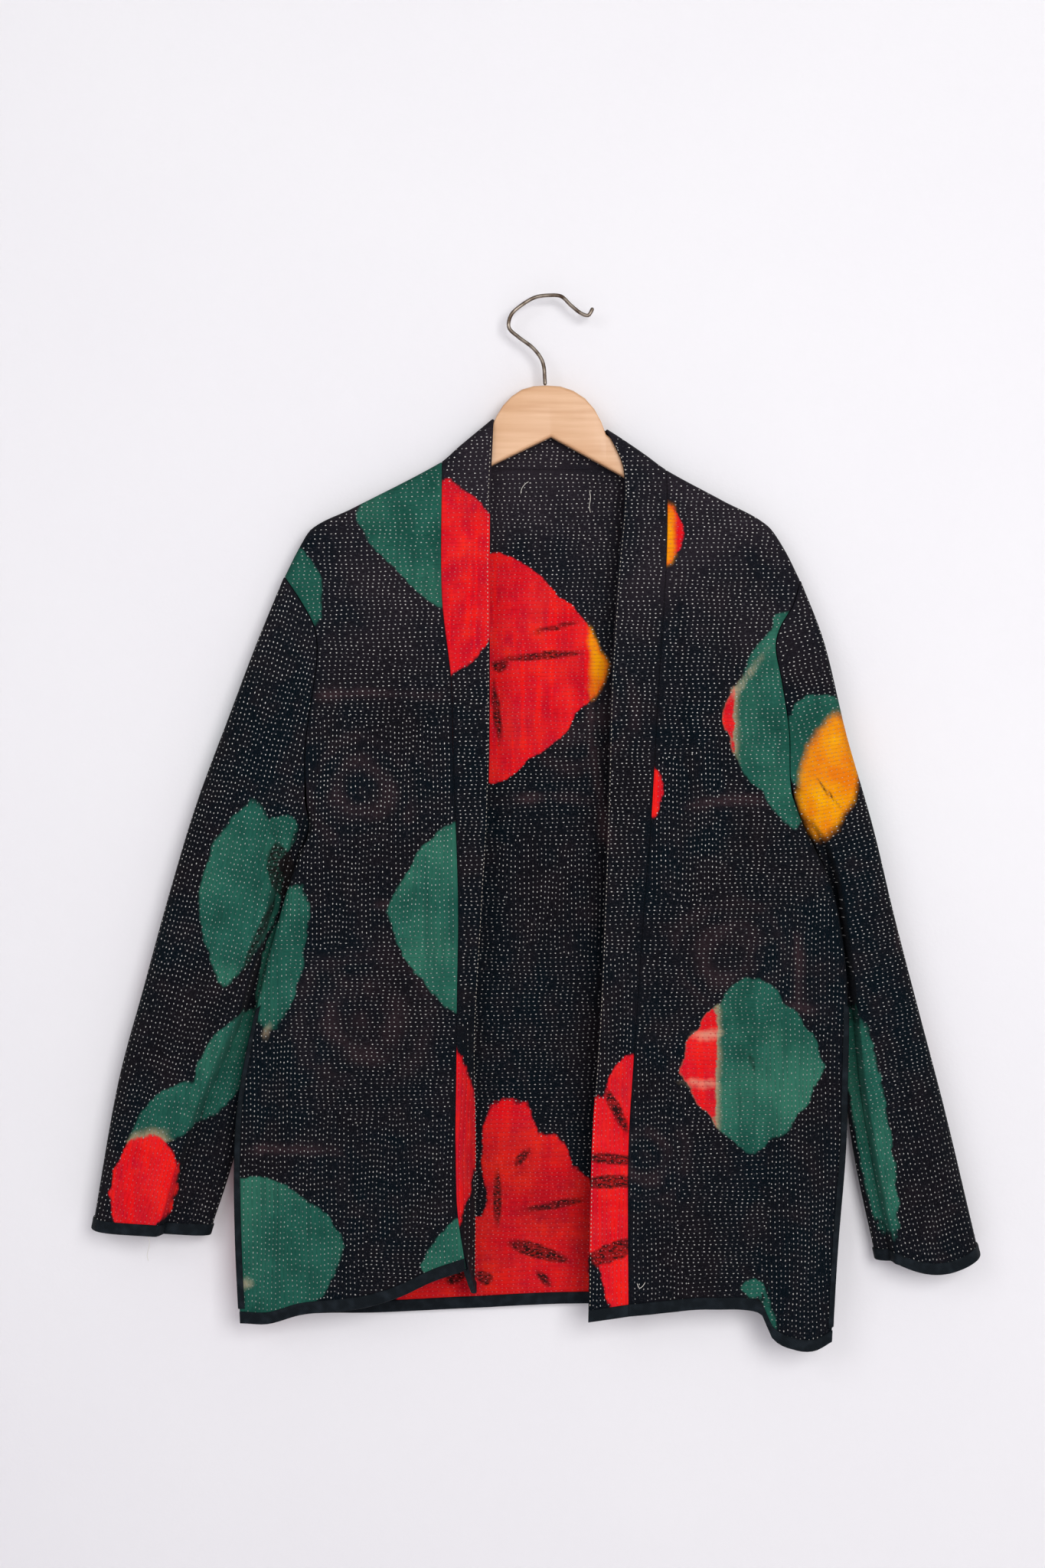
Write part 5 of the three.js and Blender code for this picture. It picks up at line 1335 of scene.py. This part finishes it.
# %% Hanger sizes
BOARD_HALF = 5.4
BOARD_EDGE = 3.0
WIRE_RADIUS = 1.65
BOARD_TOP = table("x z", (-200, -205), (-199, -201.5), (-196, -199.5), (-191, -197.5),
                  (-170, -185.6), (-93, -145.6), (-78, -132.6), (-52, -111), (-49, -107),
                  (-46, -101), (-41, -93), (-34, -85.5), (-25, -79.5), (-15, -76.6), (-4, -76),
                  (8, -76.8), (19, -80.5),
                  (29, -87), (37, -96), (43, -107), (47, -118), (61, -126.6), (80, -139.6),
                  (98, -152.6), (146, -178.6), (178, -196), (181, -199), (183, -203), (184, -207))
BOARD_BOTTOM = table("x z", (-200, -208), (-199, -210), (-196, -211.8), (-190, -213), (-184, -213),
                     (-150, -197), (-93, -168), (-48, -143), (0, -120), (60, -153), (98, -177),
                     (150, -206), (172, -215.5), (178, -215), (181.5, -213), (184, -209.5))
HOOK_ROUTE = [(-5, -75.5), (-7, -56), (-15, -44), (-28, -34), (-36, -26), (-34, -15), (-24, -6),
              (-13, 0), (0, 1.65), (9, 0.5), (17, -7), (26, -14), (32, -15.5), (36, -9)]
print("board", 2 * BOARD_HALF, "mm thick, wire", 2 * WIRE_RADIUS, "mm across")


# %% Tubes and caps
def closed_mesh(name, sections, material, attributes=None):
    """Quads between consecutive closed sections; the first and last section are single points
    repeated, so both ends close without a hole."""
    count, around = sections.shape[:2]
    index = np.arange(count * around).reshape(count, around)
    index = np.concatenate([index, index[:, :1]], axis=1)
    points = sections.reshape(-1, 3)
    return make_object(name, points, facing_out(points, section_quads(index)), material, attributes)


# %% Lacquered wood and wire
def lacquered_wood():
    """Beech or lotus wood: growth rings as stretched noise 4 mm apart along the arms."""
    material, tree, shader, position = new_material("pale_lacquered_wood")
    stretched = add(tree, "Mapping", {"Vector": position, "Scale": (14.0, 120.0, 230.0),
                                      "Rotation": (0, 0.12, 0)}).outputs[0]
    grain, broad = noise_at(tree, stretched, 1.0, 5.0), noise_at(tree, position, 24.0, 2.0)
    shade = blend(tree, stretch(tree, grain, 0.35, 0.7), "#deb38b", "#c69266")
    dress(tree, shader, blend(tree, broad, shade, "#d8a87d"), grain, 0.12, 1.0, {
        "Roughness": 0.42, "Coat Weight": 0.25, "Coat Roughness": 0.3})
    return material


def tarnished_wire():
    """Plated steel wire, brown where the plating has tarnished."""
    material, tree, shader, position = new_material("tarnished_steel_wire")
    patch = noise_at(tree, position, 160.0, 4.0)
    shade = blend(tree, stretch(tree, patch, 0.4, 0.65), "#8f8478", "#4a3a2e")
    rough = add(tree, "MapRange", {"Value": patch, "To Min": 0.25, "To Max": 0.5}).outputs["Result"]
    tree.links.new(shade, shader.inputs["Base Color"])
    tree.links.new(rough, shader.inputs["Roughness"])
    shader.inputs["Metallic"].default_value = 0.9
    return material


# %% Board of the hanger
def hanger_board():
    """At each x a rounded rectangle: half height from the top and bottom lines, half thickness
    5.4 mm, corners of 3 mm or what the height allows."""
    left, right = BOARD_TOP["x"][[0, -1]]
    even = np.linspace(left, right, 193)
    x = np.unique(np.concatenate([BOARD_TOP["x"], BOARD_BOTTOM["x"], even]))
    top = np.interp(x, BOARD_TOP["x"], BOARD_TOP["z"])
    bottom = np.interp(x, BOARD_BOTTOM["x"], BOARD_BOTTOM["z"])
    quarter = np.radians(np.linspace(0, 90, 6))
    angle = np.concatenate([quarter, quarter + np.pi / 2, quarter + np.pi, quarter + 3 * np.pi / 2])
    sign_y = np.repeat([1, -1, -1, 1], 6)
    sign_z = np.repeat([1, 1, -1, -1], 6)
    radius = np.minimum(BOARD_EDGE, (top - bottom) / 2)[:, None]
    half = ((top - bottom) / 2)[:, None]
    end = np.minimum(np.minimum(x - left, right - x) / BOARD_EDGE, 1)
    thick = (BOARD_HALF - BOARD_EDGE * (1 - np.sqrt(1 - (1 - end) ** 2)))[:, None]
    y = sign_y * (thick - radius) + radius * np.cos(angle)
    z = (top + bottom)[:, None] / 2 + sign_z * (half - radius) + radius * np.sin(angle)
    sections = np.stack([x[:, None] + 0 * y, y, z], axis=-1)
    middle = sections[[0, -1]].mean(axis=1, keepdims=True) + 0 * sections[[0, -1]]
    sections = np.concatenate([middle[:1], sections, middle[1:]])
    return closed_mesh("hanger_board", sections, lacquered_wood())


# %% Wire hook
def hanger_hook():
    """A circle along the route, square to it; the last sections shrink to round ends."""
    route = np.array(HOOK_ROUTE)
    chord = np.concatenate([[0], np.cumsum(np.linalg.norm(np.diff(route, axis=0), axis=1))])
    rows = {"s": chord, "x": route[:, 0], "z": route[:, 1]}
    ends = WIRE_RADIUS * (1 - np.cos(np.linspace(0, np.pi / 2, 6)))
    s = np.concatenate([ends, np.linspace(3, chord[-1] - 3, 90), chord[-1] - ends[::-1]])
    x, z = curve(rows, "s", "x")(s), curve(rows, "s", "z")(s)
    direction = unit(np.gradient(np.stack([x, 0 * x, z], axis=-1), s, axis=0))
    from_end = np.minimum(s, chord[-1] - s)
    radius = WIRE_RADIUS * np.sqrt(1 - np.clip(1 - from_end / WIRE_RADIUS, 0, 1) ** 2)
    side = np.cross(direction, [0, 1, 0])
    around = np.linspace(0, 2 * np.pi, 17)[:-1]
    ring = (np.cos(around)[None, :, None] * side[:, None] + np.sin(around)[None, :, None]
            * np.array([0, 1, 0]))
    centre = np.stack([x, 0 * x, z], axis=-1)[:, None]
    return closed_mesh("hanger_hook", centre + ring * radius[:, None, None], tarnished_wire())


# %% Loose threads
THREAD_TAILS = {
    "loose_thread_neck_left": [(-19, 6.4, -157), (-22, 6.1, -159), (-25, 6, -163), (-26, 6.3, -168)],
    "loose_thread_neck_right": [(33, 6.4, -164), (34, 6.2, -171), (33, 6.2, -178), (34, 6.4, -184)],
    "loose_thread_hem": [(72, -30.4, -837), (74, -31.2, -841), (77, -31.2, -839), (79, -30.8, -836)],
    "loose_thread_cuff": [(-341, -22, -797), (-340, -22, -806), (-342, -21, -815), (-341, -21, -821)],
}
LOOSE_RADIUS = 0.25


def loose_thread(name, route):
    """A circle 0.5 mm across along a short curve, drawn to a point at both ends."""
    route = np.array(route, dtype=float)
    s = np.linspace(0, len(route) - 1, 8 * len(route))
    rows = dict(zip("xyz", route.T), s=np.arange(len(route), dtype=float))
    centre = np.stack([curve(rows, "s", axis)(s) for axis in "xyz"], axis=-1)
    direction = unit(np.gradient(centre, axis=0))
    side = unit(np.cross(direction, [0, 1, 0]))
    other = np.cross(direction, side)
    around = np.linspace(0, 2 * np.pi, 7)[:-1]
    ring = (np.cos(around)[None, :, None] * side[:, None]
            + np.sin(around)[None, :, None] * other[:, None])
    radius = LOOSE_RADIUS * np.sqrt(np.clip(np.minimum(s, s[-1] - s) * 4, 0, 1))
    return closed_mesh(name, centre[:, None] + ring * radius[:, None, None], THREAD,
                       {"hue": np.tile([0.8, 0.77, 0.7], (6 * len(s), 1))})


for name, route in THREAD_TAILS.items():
    place(loose_thread(name, route), "cloth")
print("loose threads:", len(THREAD_TAILS))

# %% Board and hook in place
board = place(hanger_board(), "wood", "hanger_board")
hook = place(hanger_hook(), "wire", "hanger_hook")
print("board", triangle_count(board), "hook", triangle_count(hook))

# %% [markdown]

# %% [markdown]
# The stage: a pale wall that is seen only from the front and lets light through from behind, so
# that the jacket's back can be looked at too, and a pale floor far below. The light is soft: the
# strongest comes from the front right, a little above the hook, as from a large window, a weaker
# one from higher at the front left, and one from behind for the back. The camera stands where
# the photograph's proportions put it, level with the middle of the jacket.

# %% Wall and floor
def stage_material(name, colours, one_sided):
    """Matt paint with faint unevenness; the wall lets through what looks at its back."""
    material, tree, shader, position = new_material(name)
    tone, grit = noise_at(tree, position, 3.0, 3.0), noise_at(tree, position, 350.0, 3.0)
    dress(tree, shader, blend(tree, tone, *colours), grit, 0.15, 1.0, {"Roughness": 0.9})
    if one_sided:
        behind = add(tree, "NewGeometry").outputs["Backfacing"]
        both = add(tree, "MixShader", {0: behind, 1: shader.outputs[0],
                                       2: add(tree, "BsdfTransparent").outputs[0]})
        output = next(n for n in tree.nodes if n.type == "OUTPUT_MATERIAL")
        tree.links.new(both.outputs[0], output.inputs[0])
    return material


WALL_Y, WALL_TOP = 16, 1500
FLOOR_Z, FLOOR_FRONT, FLOOR_BACK = -1250, -4000, 3000
STAGE_HALF = 3000
wall_paint = stage_material("pale_wall_paint", ("#eeedee", "#e9e7ea"), True)
floor_paint = stage_material("pale_floor", ("#e6e2e8", "#dedae2"), False)
wall_corners = [(-STAGE_HALF, WALL_Y, FLOOR_Z), (STAGE_HALF, WALL_Y, FLOOR_Z),
                (STAGE_HALF, WALL_Y, WALL_TOP), (-STAGE_HALF, WALL_Y, WALL_TOP)]
floor_corners = [(-STAGE_HALF, FLOOR_FRONT, FLOOR_Z), (STAGE_HALF, FLOOR_FRONT, FLOOR_Z),
                 (STAGE_HALF, FLOOR_BACK, FLOOR_Z), (-STAGE_HALF, FLOOR_BACK, FLOOR_Z)]
stage_wall = make_object("stage_wall", wall_corners, [[0, 1, 2, 3]], wall_paint)
stage_wall.visible_diffuse = False
stage_wall.visible_shadow = False
make_object("stage_floor", floor_corners, [[0, 1, 2, 3]], floor_paint)
print("wall", WALL_Y, "mm behind the hanger, floor", -FLOOR_Z, "mm below its hook")


# %% Light
def soft_light(name, place_m, aim_m, size, power, colour):
    """A square area light at one point that shines towards another."""
    data = bpy.data.lights.new(name, "AREA")
    data.size, data.energy, data.color = size, power, linear(colour)[:3]
    lamp = bpy.data.objects.new(name, data)
    lamp.location = place_m
    lamp.rotation_euler = (Vector(aim_m) - Vector(place_m)).to_track_quat("-Z", "Y").to_euler()
    bpy.context.scene.collection.objects.link(lamp)


JACKET_MIDDLE = (0, 0, -0.45)
soft_light("window_light", (0.95, -2.8, 0.15), JACKET_MIDDLE, 1.5, 52, "#ffffff")
soft_light("fill_light", (-1.6, -2.6, 0.5), JACKET_MIDDLE, 1.6, 19, "#fbfaff")
soft_light("rear_light", (1.2, 2.6, 1.0), JACKET_MIDDLE, 1.6, 40, "#ffffff")
world = bpy.data.worlds.new("pale_room")
world.use_nodes = True
background = world.node_tree.nodes["Background"]
background.inputs["Color"].default_value = linear("#f2f1f3")
background.inputs["Strength"].default_value = 0.41
bpy.context.scene.world = world
bpy.context.scene.view_settings.view_transform = "Standard"
print("three soft lights and a world of strength", background.inputs["Strength"].default_value)

# %% Camera
camera_data = bpy.data.cameras.new("camera")
camera_data.lens = 50
camera_data.sensor_fit = "VERTICAL"
camera_data.sensor_height = 36
camera = bpy.data.objects.new("camera", camera_data)
camera.location = (-0.0244, -1.864, -0.4167)
camera.rotation_euler = (np.pi / 2, 0, 0)
bpy.context.scene.collection.objects.link(camera)
bpy.context.scene.camera = camera
print("camera at", tuple(camera.location), "m, lens", camera_data.lens, "mm")
